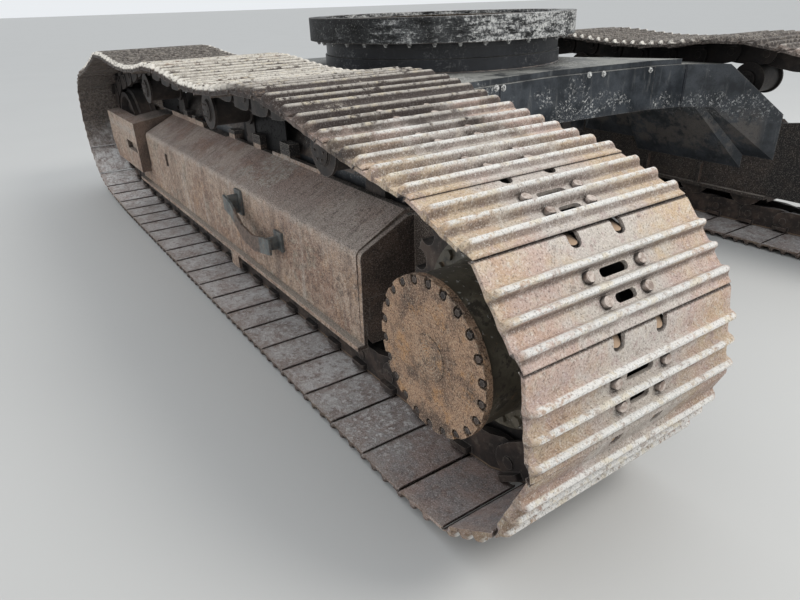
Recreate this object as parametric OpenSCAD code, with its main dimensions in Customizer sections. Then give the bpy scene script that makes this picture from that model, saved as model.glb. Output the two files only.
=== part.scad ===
// Crawler undercarriage of a large excavator: car body, slewing ring, two track
// frames and two closed tracks. Origin on the ground under the slewing axis,
// X forward (idler end), Y left, Z up, millimetres.

/* [Chain and shoes] */
// Distance between the pins of one link
pitch = 216; // [200:1:228]
// Links in each closed track
link_count = 52; // [52:1:52]
// Width of a shoe across the track
shoe_w = 750; // [600:10:800]
// Thickness of the shoe's plate
shoe_t = 12; // [10:1:16]
// Height of the ribs above the plate
rib_h = 26; // [18:1:32]
// Width of a rib where it meets the plate
rib_base = 29; // [24:1:36]
// Height of a shoe's trailing edge above the next shoe's plate
lip_h = 8; // [5:1:12]
// How far a shoe's leading edge reaches past its pin, under the shoe ahead
lead_lap = 25; // [16:1:28]
// How far a shoe's trailing edge reaches past its pin, over the next shoe
trail_lap = 20; // [12:1:22]
// Height of a link from its pin to the shoe's seat
seat_h = 66; // [60:1:72]
// Height of a link from its pin to the rail
rail_h = 63; // [56:1:68]
// Outer sides of the two rails, half the distance
rail_out = 92; // [84:1:94]
// Thickness of one rail
rail_t = 37; // [28:1:42]

/* [Track layout] */
// Distance between the two chains' centre lines
gauge = 2890; // [2800:10:3000]
// Sprocket axle, behind the slewing axis
sprocket_x = -2192; // [-2220:1:-2150]
// Height of the sprocket axle
sprocket_z = 512; // [504:1:520]
// Height of the idler axle
idler_z = 515; // [505:1:525]
// Radius of the idler's running surface
idler_r = 286; // [276:1:296]
// Half the length of the straight run on the ground
ground_half = 1640; // [1620:1:1660]
// Distance between neighbouring carrier rollers
carrier_step = 1296; // [1200:1:1320]
// Radius of a carrier roller
carrier_r = 83; // [76:1:90]
// Height of the carrier rollers' axles
carrier_z = 908; // [890:1:920]
// Gap between a carrier roller and the level rails over it
carrier_gap = 1.5; // [1:0.5:4]
// Sag of the chain between two carrier rollers
chain_sag = 40; // [20:1:60]
// Sag of the chain between a carrier roller and the wheel at the end
end_sag = 14; // [5:1:30]

/* [Sprocket] */
// Teeth round the sprocket; the chain uses every second one
teeth = 23; // [23:1:23]
// Radius of the bushings that the teeth push on
bushing_r = 36; // [32:1:38]
// Width of the teeth
tooth_w = 76; // [60:1:90]
// Height of the tooth tips above the pitch circle
tip_h = 13; // [8:1:16]

/* [Final drive] */
// Radius of the turning drum outside the sprocket
drum_r = 228; // [215:1:240]
// Outer face of the cover, from the chain's centre line
cover_y = 289; // [270:1:300]
// Radius of the cover
cover_r = 238; // [225:1:246]
// Thickness of the cover
cover_t = 24; // [18:1:30]
// Bolts round the cover
cover_bolts = 22; // [16:1:26]
// Radius of the drum's flange that carries the sprocket
flange_r = 300; // [285:1:306]

/* [Rollers] */
// Lower rollers under each frame
lower_count = 9; // [7:1:9]
// Distance between neighbouring lower rollers
lower_step = 356; // [340:1:358]
// Radius of a lower roller
lower_r = 100; // [90:1:104]
// Radius of a roller's flanges
flange_lower_r = 112; // [106:1:116]

/* [Track frame] */
// Half the width of the frame's box
frame_half = 138; // [130:1:145]
// Thickness of the frame's side plates
frame_plate = 16; // [12:1:18]
// Rear end of the box, behind the slewing axis
frame_rear = -1570; // [-1590:1:-1550]
// Front end of the box's sloped part
frame_front = 1480; // [1440:1:1500]
// Height of the outer bend between side and slope
bend_z = 585; // [560:1:600]
// Height of the frame's flat top
frame_top = 692; // [670:1:700]
// Lower edge of the outer side plate
skirt_z = 190; // [180:1:200]
// Lower edge of the inner side plate
inner_skirt_z = 230; // [220:1:240]
// How far the lower flanges stand out
flange_out = 30; // [20:1:36]
// Thickness of the lower flanges
flange_t = 20; // [14:1:24]
// Outer face of the front box, from the chain's centre line
box_half = 205; // [195:1:215]
// Height of the front box's outer upper edge
box_top = 655; // [645:1:665]
// Gap between the front box's front wall and the yoke's head
fork_gap = 41; // [30:1:60]
// Front end of the fork that holds the idler
fork_front = 2400; // [2380:1:2420]
// Inner faces of the fork, half the distance
fork_in = 118; // [114:1:124]

/* [Car body] */
// Height of the car body's top plate
body_top = 1010; // [990:1:1020]
// Depth of the legs and cross beams
beam_h = 245; // [220:1:260]
// Lowest face of the centre box
belly_z = 600; // [560:1:640]
// Thickness of the raised deck round the tub
deck_t = 30; // [20:1:36]
// Rear face of the cross beam, from the slewing axis
beam_out = 960; // [930:1:980]
// Inner face of the cross beam, from the slewing axis
beam_in = 560; // [520:1:600]

/* [Slewing ring] */
// Outer radius of the tub under the ring
tub_r = 735; // [725:1:740]
// Thickness of the tub's wall
tub_wall = 95; // [80:1:105]
// Height of the joint between tub and ring
ring_z = 1190; // [1180:1:1210]
// Height of the turning race
ring_h = 125; // [110:1:135]
// How far the bearing between the two races lies inside the tub's outer face
race_inset = 19; // [15:1:22]
// Thickness of the turning race
race_wall = 105; // [100:1:115]
// Bolts that hold the upper frame on the turning race
ring_bolts = 36; // [30:1:40]
// How far their pitch circle lies inside the turning race's outer face
bolt_inset = 46; // [40:1:50]
// Radius of the bolt holes
ring_hole_r = 16.5; // [13.5:0.5:18]
// Teeth inside the fixed race
gear_teeth = 84; // [84:1:84]
// How far the teeth's pitch circle lies inside the bearing
gear_inset = 128; // [124:1:132]

/* [Hidden] */
// Gap between round faces that seat in each other
fit_gap = 0.3;
// How deep the parts of one solid reach into each other, and cuts past a face
sunk = 1;
// Height of the pins on the ground run
pin_z = seat_h + shoe_t + rib_h;
// Angle that one link takes on the sprocket, two teeth
link_angle = 720 / teeth;
sprocket_r = pitch / 2 / sin(link_angle / 2);
// Angle of the first pin, where the top run meets the sprocket
first_angle = 93.9;
// Pin circle of the chain round the idler
idler_pin_r = sqrt(pow(idler_r + rail_h, 2) + pow(pitch / 2, 2));
carrier_pin_z = carrier_z + carrier_r + rail_h + carrier_gap;
// The path is level this far to each side of a carrier roller
level_half = 0.66 * pitch;
carrier_x = [carrier_step, 0, -carrier_step];
yc = gauge / 2;
lower_z = pin_z + rail_h + lower_r;
rail_in = rail_out - rail_t;
steel = [0.42, 0.33, 0.27];
rust = [0.50, 0.36, 0.26];
black = [0.10, 0.10, 0.12];

// Points of an arc
function arc(c, r, a0, a1, n) = [for (i = [0 : n])
  let (a = a0 + (a1 - a0) * i / n) c + r * [cos(a), sin(a)]];
// Angle of the point where a line from q touches the circle, seen from its centre
function touch(c, r, q, side) = atan2(q.y - c.y, q.x - c.x) + side * acos(r / norm(q - c));
// Hanging stretch of chain between two points, without its last point
function hang(a, b, sag, n) = [for (i = [0 : n - 1])
  let (t = i / n) a + (b - a) * t - [0, 4 * sag * t * (1 - t)]];

// The pins' path for one idler position: round the sprocket, along the ground,
// round the idler and back over the carrier rollers, where it is level, past its
// own start
function path(ix) = let (
    s = [sprocket_x, sprocket_z],
    f = [ix, idler_z],
    rear = [-ground_half, pin_z],
    front = [ground_half, pin_z],
    top = [for (x = carrier_x) each [[x + level_half, carrier_pin_z], [x - level_half, carrier_pin_z]]],
    a_down = touch(s, sprocket_r, rear, -1) + 360,
    b_up = touch(f, idler_pin_r, front, 1),
    b_top = touch(f, idler_pin_r, top[0], -1) + (touch(f, idler_pin_r, top[0], -1) < 0 ? 360 : 0),
    a_top = touch(s, sprocket_r, top[5], 1),
    over = arc(f, idler_pin_r, b_up, b_top, 90),
    down = arc(s, sprocket_r, a_top, first_angle + 40, 24))
  concat(arc(s, sprocket_r, first_angle, a_down, 90), [rear, front], over,
    [for (i = [1 : 7]) hang(over[90], top[0], end_sag, 8)[i]],
    [top[0]], hang(top[1], top[2], chain_sag, 12), [top[2]], hang(top[3], top[4], chain_sag, 12),
    [top[4]], hang(top[5], down[0], end_sag, 8), down);
// Point of the line a-b that lies one pitch from p
function reach(a, b, p) = let (d = b - a, e = a - p, k = d * d, m = e * d,
    t = (-m + sqrt(m * m - k * (e * e - pitch * pitch))) / k) a + d * t;
function reach_at(q, p, j) = norm(q[j + 1] - p) >= pitch ? j : reach_at(q, p, j + 1);
// Pins laid along the path, one pitch apart
function lay(q, n, p, j, done = []) = n == 0 ? concat(done, [p]) :
  let (k = reach_at(q, p, j)) lay(q, n - 1, reach(q[k], q[k + 1], p), k, concat(done, [p]));
function pins_for(ix) = let (q = path(ix)) lay(q, link_count, q[0], 0);
// Angle by which the last pin runs past the first
function overrun(ix) = let (p = pins_for(ix)[link_count])
  atan2(p.y - sprocket_z, p.x - sprocket_x) - first_angle;
// Idler position that closes the chain, as its grease cylinder sets it
function closing(lo, hi, n) = n == 0 ? (lo + hi) / 2 :
  let (m = (lo + hi) / 2) overrun(m) > 0 ? closing(m, hi, n - 1) : closing(lo, m, n - 1);
idler_x = closing(-sprocket_x - 70, -sprocket_x + 90, 16);
pins = [for (i = [0 : link_count - 1]) pins_for(idler_x)[i]];

function pin(i) = pins[(i + link_count) % link_count];
function dir(i) = (pin(i + 1) - pin(i)) / norm(pin(i + 1) - pin(i));
function out(d) = [d.y, -d.x];
// Corner of the closed line that runs h outside the pins
function corner(i, h) = let (a = out(dir(i - 1)), b = out(dir(i))) pin(i) + h * (a + b) / (1 + a * b);
function turns(i) = norm(dir(i) - dir(i - 1)) > 0.0005;
function ring(h) = [for (i = [0 : link_count - 1]) if (turns(i)) corner(i, h)];
// Outline of one shoe, from its leading edge: along the link, height over the pins
plate_h = seat_h + shoe_t;
crest_h = plate_h + rib_h;
rib_at = [-53, 14, 83];
shoe_outline = concat([[-pitch / 2 - lead_lap, plate_h]],
  [for (u = rib_at) each [[u - rib_base / 2, plate_h], [u, crest_h],
    if (u < rib_at[2]) [u + rib_base / 2, plate_h]]],
  [[pitch / 2 + trail_lap, plate_h + lip_h]]);
function shoes() = [for (i = [0 : link_count - 1]) let (m = (pin(i) + pin(i + 1)) / 2)
    each [for (p = shoe_outline) m + dir(i) * p.x + out(dir(i)) * p.y]];

// Puts a piece of the left side in its place, or its mirror image on the right
module side(s) {
  mirror([0, s < 0 ? 1 : 0, 0])
    translate([0, yc, 0])
      children();
}
// Extrudes an XZ outline across the track, from y0 to y1
module across(y0, y1) {
  translate([0, y1, 0])
    rotate([90, 0, 0])
      linear_extrude(y1 - y0)
        children();
}
// Extrudes a YZ outline along the track, from x0 to x1
module along(x0, x1) {
  translate([x0, 0, 0])
    rotate([90, 0, 90])
      linear_extrude(x1 - x0)
        children();
}
// Turned piece on an axle across the track: outline of radius against y
module turned(x, z, outline) {
  translate([x, 0, z])
    rotate([-90, 0, 0])
      rotate_extrude($fn = 96)
        polygon(outline);
}
// Round bar on an axle across the track
module bar(x, z, r, y0, y1) {
  translate([x, y0, z])
    rotate([-90, 0, 0])
      cylinder(h = y1 - y0, r = r, $fn = 64);
}

module track() {
  color(steel) {
    across(-shoe_w / 2, shoe_w / 2)
      difference() {
        polygon(shoes());
        polygon(ring(seat_h));
      }
    for (s = [-1, 1])
      across(s * (rail_out - rail_t / 2) - rail_t / 2, s * (rail_out - rail_t / 2) + rail_t / 2)
        difference() {
          polygon(ring(seat_h + sunk));
          polygon(ring(-rail_h));
        }
  }
}

bore_r = drum_r + 4;
bushing_gap = 2;
module sprocket() {
  color(steel)
    translate([sprocket_x, 0, sprocket_z])
      rotate([90, 0, 0])
        translate([0, 0, -tooth_w / 2])
          difference() {
            cylinder(h = tooth_w, r = sprocket_r + tip_h, $fn = 120);
            for (i = [0 : teeth - 1])
              rotate([0, 0, first_angle + i * 360 / teeth])
                translate([sprocket_r, 0, -sunk])
                  cylinder(h = tooth_w + 2 * sunk, r = bushing_r + bushing_gap, $fn = 48);
            translate([0, 0, -sunk])
              cylinder(h = tooth_w + 2 * sunk, r = bore_r + fit_gap, $fn = 120);
          }
}

bracket_t = 30;
hub_y = bracket_t - frame_half;
hub_r = 205;
flange_bolts = 24;
flange_plate = 20;
flange_bolt_r = 18;
// Outline of the drum, from the hub in the frame's bracket to the cover: radius, y
drum = [[0, hub_y], [hub_r, hub_y], [hub_r, -tooth_w / 2 - 12], [bore_r, -tooth_w / 2 - 12],
  [bore_r, tooth_w / 2], [flange_r, tooth_w / 2], [flange_r, tooth_w / 2 + flange_plate],
  [drum_r + 8, tooth_w / 2 + flange_plate + 12], [drum_r, tooth_w / 2 + flange_plate + 30],
  [drum_r, cover_y - cover_t], [0, cover_y - cover_t]];
module final_drive() {
  color(black) {
    turned(sprocket_x, sprocket_z, drum);
    for (i = [0 : flange_bolts - 1])
      translate([sprocket_x, tooth_w / 2 + flange_plate - sunk, sprocket_z])
        rotate([-90, i * 360 / flange_bolts, 0])
          translate([flange_r - 1.7 * flange_bolt_r, 0, 0])
            cylinder(h = flange_bolt_r, r = flange_bolt_r, $fn = 6);
  }
}

pocket_r = 15;
pocket_h = 9;
boss_r = 70;
boss_h = 3;
module drive_cover() {
  color(rust)
    translate([sprocket_x, cover_y - cover_t, sprocket_z])
      rotate([-90, 0, 0])
        difference() {
          union() {
            cylinder(h = cover_t, r = cover_r, $fn = 120);
            cylinder(h = cover_t + boss_h, r = boss_r, $fn = 64);
          }
          // Pockets of the bolts, open to the rim
          for (i = [0 : cover_bolts - 1])
            rotate([0, 0, (i + 0.5) * 360 / cover_bolts])
              translate([cover_r - pocket_r, 0, cover_t - pocket_h])
                union() {
                  cylinder(h = 2 * pocket_h, r = pocket_r, $fn = 32);
                  translate([0, -pocket_r, 0])
                    cube([2 * pocket_r, 2 * pocket_r, 2 * pocket_h]);
                }
        }
}

// Travel motor behind the frame's bracket, with its valve block and brake port
motor_y = -300;
motor_r = 150;
cap_r = 120;
cap_h = 60;
valve = [180, 110, 120];
port = [90, 100, 120];
module travel_motor() {
  color(black) {
    bar(sprocket_x, sprocket_z, motor_r, motor_y + cap_h, -frame_half);
    bar(sprocket_x, sprocket_z, cap_r, motor_y, motor_y + cap_h + sunk);
    translate([sprocket_x - valve.x / 2, motor_y + cap_h - 20, sprocket_z + motor_r / 2 - 15])
      cube(valve);
    translate([sprocket_x + motor_r - 20, motor_y + cap_h - 10, sprocket_z - port.z / 2])
      cube(port);
  }
}

// Rear face of the yoke's head behind the idler, and the wall it faces
yoke_gap = 100;
head_x = idler_x - idler_r - yoke_gap;
fork_x = head_x - fork_gap;
// Section of the sloped box: the side plate turns into the slope in a round bend
bend_r = 34;
slope_in = -83;
slope = atan2(frame_top - bend_z, frame_half - slope_in);
bend_c = [frame_half - bend_r, bend_z - bend_r * tan((90 - slope) / 2)];
plate_in = frame_half - frame_plate;
box_floor = 400;
pad_z = 312;
pad_in = 104;
// Under side of the box, from the inner skirt to the outer one
underside = [[-frame_half, inner_skirt_z], [-plate_in, inner_skirt_z], [-plate_in, pad_z],
  [-pad_in, pad_z], [-pad_in, box_floor], [pad_in, box_floor], [pad_in, pad_z],
  [plate_in, pad_z], [plate_in, skirt_z + sunk], [frame_half, skirt_z + sunk]];
// The slope's outline, r outside its bend and faces
module slope_section(r = 0) {
  polygon(concat(arc(bend_c, bend_r + r, 0, 90 - slope, 6),
    [[slope_in, frame_top + r], [-frame_half, frame_top + r]], underside));
}
// Gap between the slope's end and the front box
neck = 30;
neck_in = 22;
module neck_section() {
  polygon(concat([[frame_half, pad_z + neck_in], [frame_half - neck_in, pad_z + 2 * neck_in],
    [frame_half - neck_in, bend_z - neck_in],
    [slope_in, frame_top - neck_in], [-frame_half, frame_top - neck_in]], underside));
}
box_low = 300;
box_rise = 9;
box_edge = -40;
function box_z(y) = box_top + (box_half - y) * tan(box_rise);
module box_section() {
  polygon(concat([[frame_half, box_low], [box_half, box_low], [box_half, box_top],
    [box_edge, box_z(box_edge)], [-frame_half, box_z(box_edge)]], underside));
}
// End plate, set back from the slope's face
end_t = 24;
end_in = 6;
// Rear part of the slope, raised by a wedge up to a skewed edge
raise_t = 12;
raise_x = [302, 389];
rim_w = 25;
rim_h = 30;
bend_end = bend_c + bend_r * [sin(slope), cos(slope)];
module wedge_section() {
  polygon([bend_end, [slope_in, frame_top + raise_t], [slope_in - rim_w, frame_top + raise_t],
    [slope_in - rim_w, frame_top - raise_t], bend_end - [0, 2 * raise_t]]);
}
rod_r = 60;
rod_in = 180;
rims = [[-872, -342], [770, frame_front - sunk]];
// Blocks on the inner edge of the flat top: middle, length, height
blocks = [[1140, 80, 66], [960, 60, 52], [240, 90, 58], [-140, 100, 85], [-505, 105, 95]];
block_w = 56;
rib_x = [-1124, -727, 727, 1124];
rib_top = 380;
hatch = [1540, 300, 435, 65];
slot = [960, 60, 430, 85];
chamfer = 120;
bracket_r = 262;
bracket_hole = 120;
bracket_low = 250;
module flange(y, z) {
  translate([frame_rear, y, z])
    cube([fork_x - frame_rear, frame_plate + flange_out, flange_t]);
}
// Hole through the outer plates: front of it, length, height over the ground, height
module outer_hole(y, h) {
  translate([h[0], y - 2 * frame_plate, h[2]])
    cube([h[1], 2 * frame_plate + sunk, h[3]]);
}
module track_frame() {
  color(rust) {
    difference() {
      union() {
        along(frame_rear, frame_rear + end_t + sunk)
          slope_section(-end_in);
        along(frame_rear + end_t, frame_front)
          slope_section();
        intersection() {
          along(frame_rear + end_t, frame_front)
            wedge_section();
          linear_extrude(2 * frame_top)
            polygon([[frame_rear, slope_in - rim_w], [raise_x[0], slope_in - rim_w],
              [raise_x[1], bend_end.x], [frame_rear, bend_end.x]]);
        }
        along(frame_front - sunk, frame_front + neck + sunk)
          neck_section();
        along(frame_front + neck, fork_x)
          box_section();
        // Cheeks of the fork, beside the idler
        along(fork_x - sunk, fork_front)
          polygon([[fork_in, box_low], [box_half, box_low], [box_half, box_top],
            [fork_in, box_z(fork_in)]]);
        along(fork_x - sunk, fork_front - 70)
          polygon([[-frame_half, box_low], [-fork_in, box_low], [-fork_in, frame_top],
            [-frame_half, frame_top]]);
        flange(plate_in, skirt_z);
        flange(-frame_half - flange_out, inner_skirt_z);
        // Raised edges and blocks on the flat top
        for (x = rims)
          translate([x[0], slope_in - rim_w, frame_top - sunk])
            cube([x[1] - x[0], rim_w, rim_h + sunk]);
        for (b = blocks)
          translate([b[0] - b[1] / 2, -frame_half, frame_top - sunk])
            cube([b[1], block_w, b[2] + sunk]);
        // Ribs on the inner side plate
        for (x = rib_x)
          translate([x - frame_plate / 2, -frame_half - flange_out, inner_skirt_z])
            cube([frame_plate, flange_out + sunk, rib_top - inner_skirt_z]);
      }
      // Bore of the yoke's rod
      translate([fork_x - rod_in, 0, idler_z])
        rotate([0, 90, 0])
          cylinder(h = rod_in + sunk, r = rod_r + fit_gap, $fn = 64);
      // Opening to the grease valve, and the slot in the outer plate
      outer_hole(box_half, hatch);
      outer_hole(frame_half, slot);
      // Front corners of the cheeks, cut off below
      across(-box_half, box_half + sunk)
        polygon([[fork_front + sunk, box_low - sunk], [fork_front + sunk, box_low + chamfer],
          [fork_front - chamfer, box_low - sunk]]);
    }
    // Rear bracket that carries the final drive, on the inner side
    across(-frame_half, hub_y)
      difference() {
        union() {
          translate([sprocket_x, sprocket_z])
            circle(r = bracket_r, $fn = 96);
          polygon([[frame_rear + sunk, frame_top - end_in], [frame_rear + sunk, bracket_low],
            [sprocket_x, sprocket_z - bracket_r], [sprocket_x, sprocket_z + bracket_r]]);
        }
        translate([sprocket_x, sprocket_z])
          circle(r = bracket_hole, $fn = 96);
      }
  }
}

idler_w = 84;
idler_hub = 110;
rim_t = 34;
web_t = 36;
rib_up = 22;
// Half of the idler's outline, from the middle out: radius, y
idler_half = [[idler_r + rib_up, rail_in - 14], [idler_r - fit_gap, rail_in - 6],
  [idler_r - fit_gap, idler_w], [idler_r - rim_t, idler_w], [idler_r - rim_t - 26, web_t],
  [idler_hub, web_t + 24], [idler_hub - 15, idler_w], [0, idler_w]];
module idler() {
  color(steel)
    turned(idler_x, idler_z, concat([for (i = [len(idler_half) - 1 : -1 : 0])
      [idler_half[i].x, -idler_half[i].y]], idler_half));
}

// Yoke: two arms beside the idler, a head behind it and a rod into the frame
yoke_in = idler_w + fit_gap;
yoke_t = fork_in - fit_gap - yoke_in;
hub_l = 220;
hub_h = 156;
arm_h = 76;
head_l = 60;
head_h = 150;
module idler_yoke() {
  color(black) {
    for (y = [-yoke_in - yoke_t, yoke_in]) {
      translate([idler_x - hub_l / 2, y, idler_z - hub_h / 2])
        cube([hub_l, yoke_t, hub_h]);
      translate([head_x, y, idler_z - arm_h / 2])
        cube([idler_x - hub_l / 2 + sunk - head_x, yoke_t, arm_h]);
    }
    translate([head_x, -yoke_in - yoke_t, idler_z - head_h / 2])
      cube([head_l, 2 * (yoke_in + yoke_t), head_h]);
    translate([fork_x - rod_in, 0, idler_z])
      rotate([0, 90, 0])
        cylinder(h = head_x + sunk - fork_x + rod_in, r = rod_r, $fn = 64);
  }
}

// Carrier roller: flanged drum, with its shaft in a post on the frame's inner edge
post_y = 27 - frame_half;
post_r = 50;
post_half = 75;
shaft_r = 34;
carrier_half = 108;
carrier_flange = 14;
// Half of a carrier roller's outline, from its drum to its cap: radius, y
carrier_shape = [[carrier_r - fit_gap, carrier_half - 14],
  [carrier_r + carrier_flange, carrier_half - 12], [carrier_r + carrier_flange, carrier_half],
  [60, carrier_half], [55, carrier_half + 6], [0, carrier_half + 6]];
module carrier_rollers() {
  for (x = carrier_x)
    color(steel) {
      turned(x, carrier_z, concat([[0, -carrier_half], [carrier_r + carrier_flange, -carrier_half],
        [carrier_r + carrier_flange, 12 - carrier_half], [carrier_r - fit_gap, 14 - carrier_half]],
        carrier_shape));
      bar(x, carrier_z, shaft_r, -frame_half - 12, sunk - carrier_half);
      across(-frame_half, post_y) {
        translate([x, carrier_z])
          circle(r = post_r, $fn = 64);
        polygon([[x - post_half, frame_top], [x + post_half, frame_top], [x + post_r - 4, carrier_z],
          [x - post_r + 4, carrier_z]]);
      }
    }
}

// Lower roller: two treads on the rails and a waist between them
roller_half = pad_in - sunk;
waist = 14;
lug_w = 90;
lug_low = 40;
// Half of a lower roller's outline, from its waist to its end: radius, y
lower_shape = [[lower_r - waist, rail_in - 10], [lower_r - fit_gap, rail_in - 2],
  [lower_r - fit_gap, rail_out + 2], [flange_lower_r, rail_out + 4], [flange_lower_r, roller_half],
  [0, roller_half]];
module lower_rollers() {
  for (i = [0 : lower_count - 1]) {
    x = (i - (lower_count - 1) / 2) * lower_step;
    color(steel) {
      turned(x, lower_z, concat([for (k = [len(lower_shape) - 1 : -1 : 0])
        [lower_shape[k].x, -lower_shape[k].y]], lower_shape));
      for (y = [-plate_in, roller_half])
        translate([x - lug_w / 2, y, lower_z - lug_low])
          cube([lug_w, plate_in - roller_half, pad_z - lower_z + lug_low]);
    }
  }
}

// Guide plates beside the chain, under both flanges
guard_x = -260;
guard_l = 110;
guard_low = 96;
module track_guards() {
  color(rust) {
    translate([guard_x, frame_half, guard_low])
      cube([guard_l, frame_plate, skirt_z - guard_low]);
    translate([guard_x, -frame_half - frame_plate, guard_low])
      cube([guard_l, frame_plate, inner_skirt_z - guard_low]);
  }
}

// Step: a bent flat bar that sags between two pads on the outer side plate
bar_t = 12;
step_out = 62;
pad_w = 80;
// Pads: middle, lower edge, height
pads = [[-380, 440, 128], [-850, 385, 90]];
// The bar's upper edge; it is as deep as bar_h
bar_line = [[-340, 545], [-430, 525], [-560, 442], [-690, 425], [-890, 462]];
bar_h = 76;
module step() {
  color(black)
    for (p = pads) {
      translate([p[0] - pad_w / 2, frame_half, p[1]])
        cube([pad_w, bar_t, p[2]]);
      translate([p[0] - bar_t / 2, frame_half + bar_t - sunk, p[1] + 10])
        cube([bar_t, step_out - bar_t + 2 * sunk, p[2] - 30]);
    }
  color(black)
    across(frame_half + step_out, frame_half + step_out + bar_t)
      polygon(concat(bar_line, [for (i = [len(bar_line) - 1 : -1 : 0]) bar_line[i] - [0, bar_h]]));
}

// Leg: straight from the centre, bent down to the track frame at the knee, with a
// gusset below. Plan of a rear leg: rear face swept, both faces flared at the foot
foot_y = yc - frame_half;
beam_z = body_top - beam_h;
root_y = 780;
sweep = 75;
waist_at = [1100, 991];
knee_at = [1290, 1134];
foot_x = 1560;
foot_in = 130;
foot_z = [736, 470];
under_y = 1100;
gusset_z = 390;
gusset_y = 1060;
gusset_x = [1150, 1373];
module leg(sx, sy) {
  color(black)
    mirror([sx > 0 ? 1 : 0, 0, 0])
      mirror([0, sy < 0 ? 1 : 0, 0]) {
        intersection() {
          along(-foot_x, -foot_in)
            polygon([[root_y, body_top], [knee_at.y, body_top], [foot_y, foot_z[0]],
              [foot_y, foot_z[1]], [under_y, beam_z], [root_y, beam_z]]);
          linear_extrude(body_top)
            polygon([[-beam_in, root_y], [-beam_in, waist_at.y], [-foot_in, foot_y],
              [-foot_x, foot_y], [-knee_at.x, knee_at.y], [-waist_at.x, waist_at.y],
              [-beam_out - sweep, root_y]]);
        }
        intersection() {
          along(-foot_x, -beam_in)
            polygon([[under_y, beam_z + sunk], [foot_y, foot_z[1] + sunk], [foot_y, gusset_z],
              [gusset_y, beam_z + sunk]]);
          linear_extrude(body_top)
            polygon([[-beam_in - 60, gusset_y], [-beam_in - 60, foot_y], [-gusset_x[1], foot_y],
              [-gusset_x[0], gusset_y]]);
        }
      }
}

quarters = [[-1, -1], [-1, 1], [1, 1], [1, -1]];
well_r = tub_r - tub_wall;
sump_r = well_r - 120;
belly_out = beam_in + 60;
belly_y = 700;
floor_t = 30;
swivel_r = 130;
swivel_gap = 130;
deck_in = 22;
deck_ledge = 40;
// Tip of a wing of the deck, past the beam's corner
wing_tip = [45, 965];
wing_root = [400, 660];
module car_body() {
  color(black)
    difference() {
      union() {
        translate([0, 0, beam_z])
          linear_extrude(beam_h)
            polygon([for (s = quarters)
              each (s.x * s.y > 0 ?
                [[s.x * (beam_out + sweep), s.y * root_y], [s.x * beam_out, 0]] :
                [[s.x * (beam_out + sweep), s.y * root_y]])]);
        translate([-belly_out, -belly_y, belly_z])
          cube([2 * belly_out, 2 * belly_y, beam_z - belly_z + sunk]);
        // Deck round the tub, its four wings pointed on the legs
        translate([0, 0, body_top])
          linear_extrude(deck_t) {
            circle(r = tub_r + deck_ledge, $fn = 120);
            for (s = quarters)
              polygon([[0, 0], [s.x * (beam_out - deck_in), 0],
                [s.x * (beam_out + sweep - deck_in), s.y * root_y],
                [s.x * (beam_out + sweep + wing_tip.x), s.y * wing_tip.y],
                [s.x * wing_root.x, s.y * wing_root.y]]);
          }
      }
      // Well inside the tub, its sump, and the hole round the centre swivel
      translate([0, 0, beam_z + floor_t])
        cylinder(h = beam_h + deck_t, r = well_r, $fn = 120);
      translate([0, 0, belly_z + floor_t])
        cylinder(h = beam_h, r = sump_r, $fn = 120);
      translate([0, 0, belly_z - sunk])
        cylinder(h = floor_t + 2 * sunk, r = swivel_r + swivel_gap, $fn = 96);
    }
}

deck_z = body_top + deck_t;
ledge_z = deck_z + 70;
ledge_in = 9;
collar_h = 24;
collar_in = 3;
seat_in = 25;
module slew_tub() {
  color(black)
    rotate_extrude($fn = 120)
      polygon([[well_r, deck_z], [tub_r, deck_z], [tub_r, ledge_z], [tub_r - ledge_in, ledge_z + 4],
        [tub_r - ledge_in, ring_z - collar_h], [tub_r - collar_in, ring_z - collar_h],
        [tub_r - collar_in, ring_z], [well_r - seat_in, ring_z],
        [well_r - seat_in, ring_z - collar_h], [well_r, ring_z - collar_h]]);
}

race_r = tub_r - race_inset;
ring_out = race_r + race_wall;
ring_pcd = 2 * (ring_out - bolt_inset);
gear_r = race_r - gear_inset;
gear_module = 2 * gear_r / gear_teeth;
// One tooth of the inner gear: depth in modules, angle as a share of its step
tooth = [[-1, -0.14], [-1, 0.14], [1.2, 0.36], [1.2, 0.64]];
race_step = 14;
band_h = 40;
band_out = 2.5;
module slew_inner_race() {
  color(steel)
    translate([0, 0, ring_z])
      difference() {
        union() {
          cylinder(h = ring_h - race_step, r = race_r - band_out, $fn = 120);
          // Band that the turning race bears on
          translate([0, 0, (ring_h - band_h) / 2])
            cylinder(h = band_h, r = race_r - fit_gap, $fn = 120);
        }
        translate([0, 0, -sunk])
          linear_extrude(ring_h)
            polygon([for (i = [0 : gear_teeth - 1])
              each [for (p = tooth)
                let (a = (i + p.y) * 360 / gear_teeth)
                  (gear_r + p.x * gear_module) * [cos(a), sin(a)]]]);
      }
}

seal_gap = 6;
module slew_outer_race() {
  color(steel)
    translate([0, 0, ring_z + seal_gap])
      difference() {
        cylinder(h = ring_h, r = ring_out, $fn = 120);
        translate([0, 0, -sunk])
          cylinder(h = ring_h + 2 * sunk, r = race_r, $fn = 120);
        for (i = [0 : ring_bolts - 1])
          rotate([0, 0, i * 360 / ring_bolts])
            translate([ring_pcd / 2, 0, -sunk])
              cylinder(h = ring_h + 2 * sunk, r = ring_hole_r, $fn = 32);
      }
}

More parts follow.
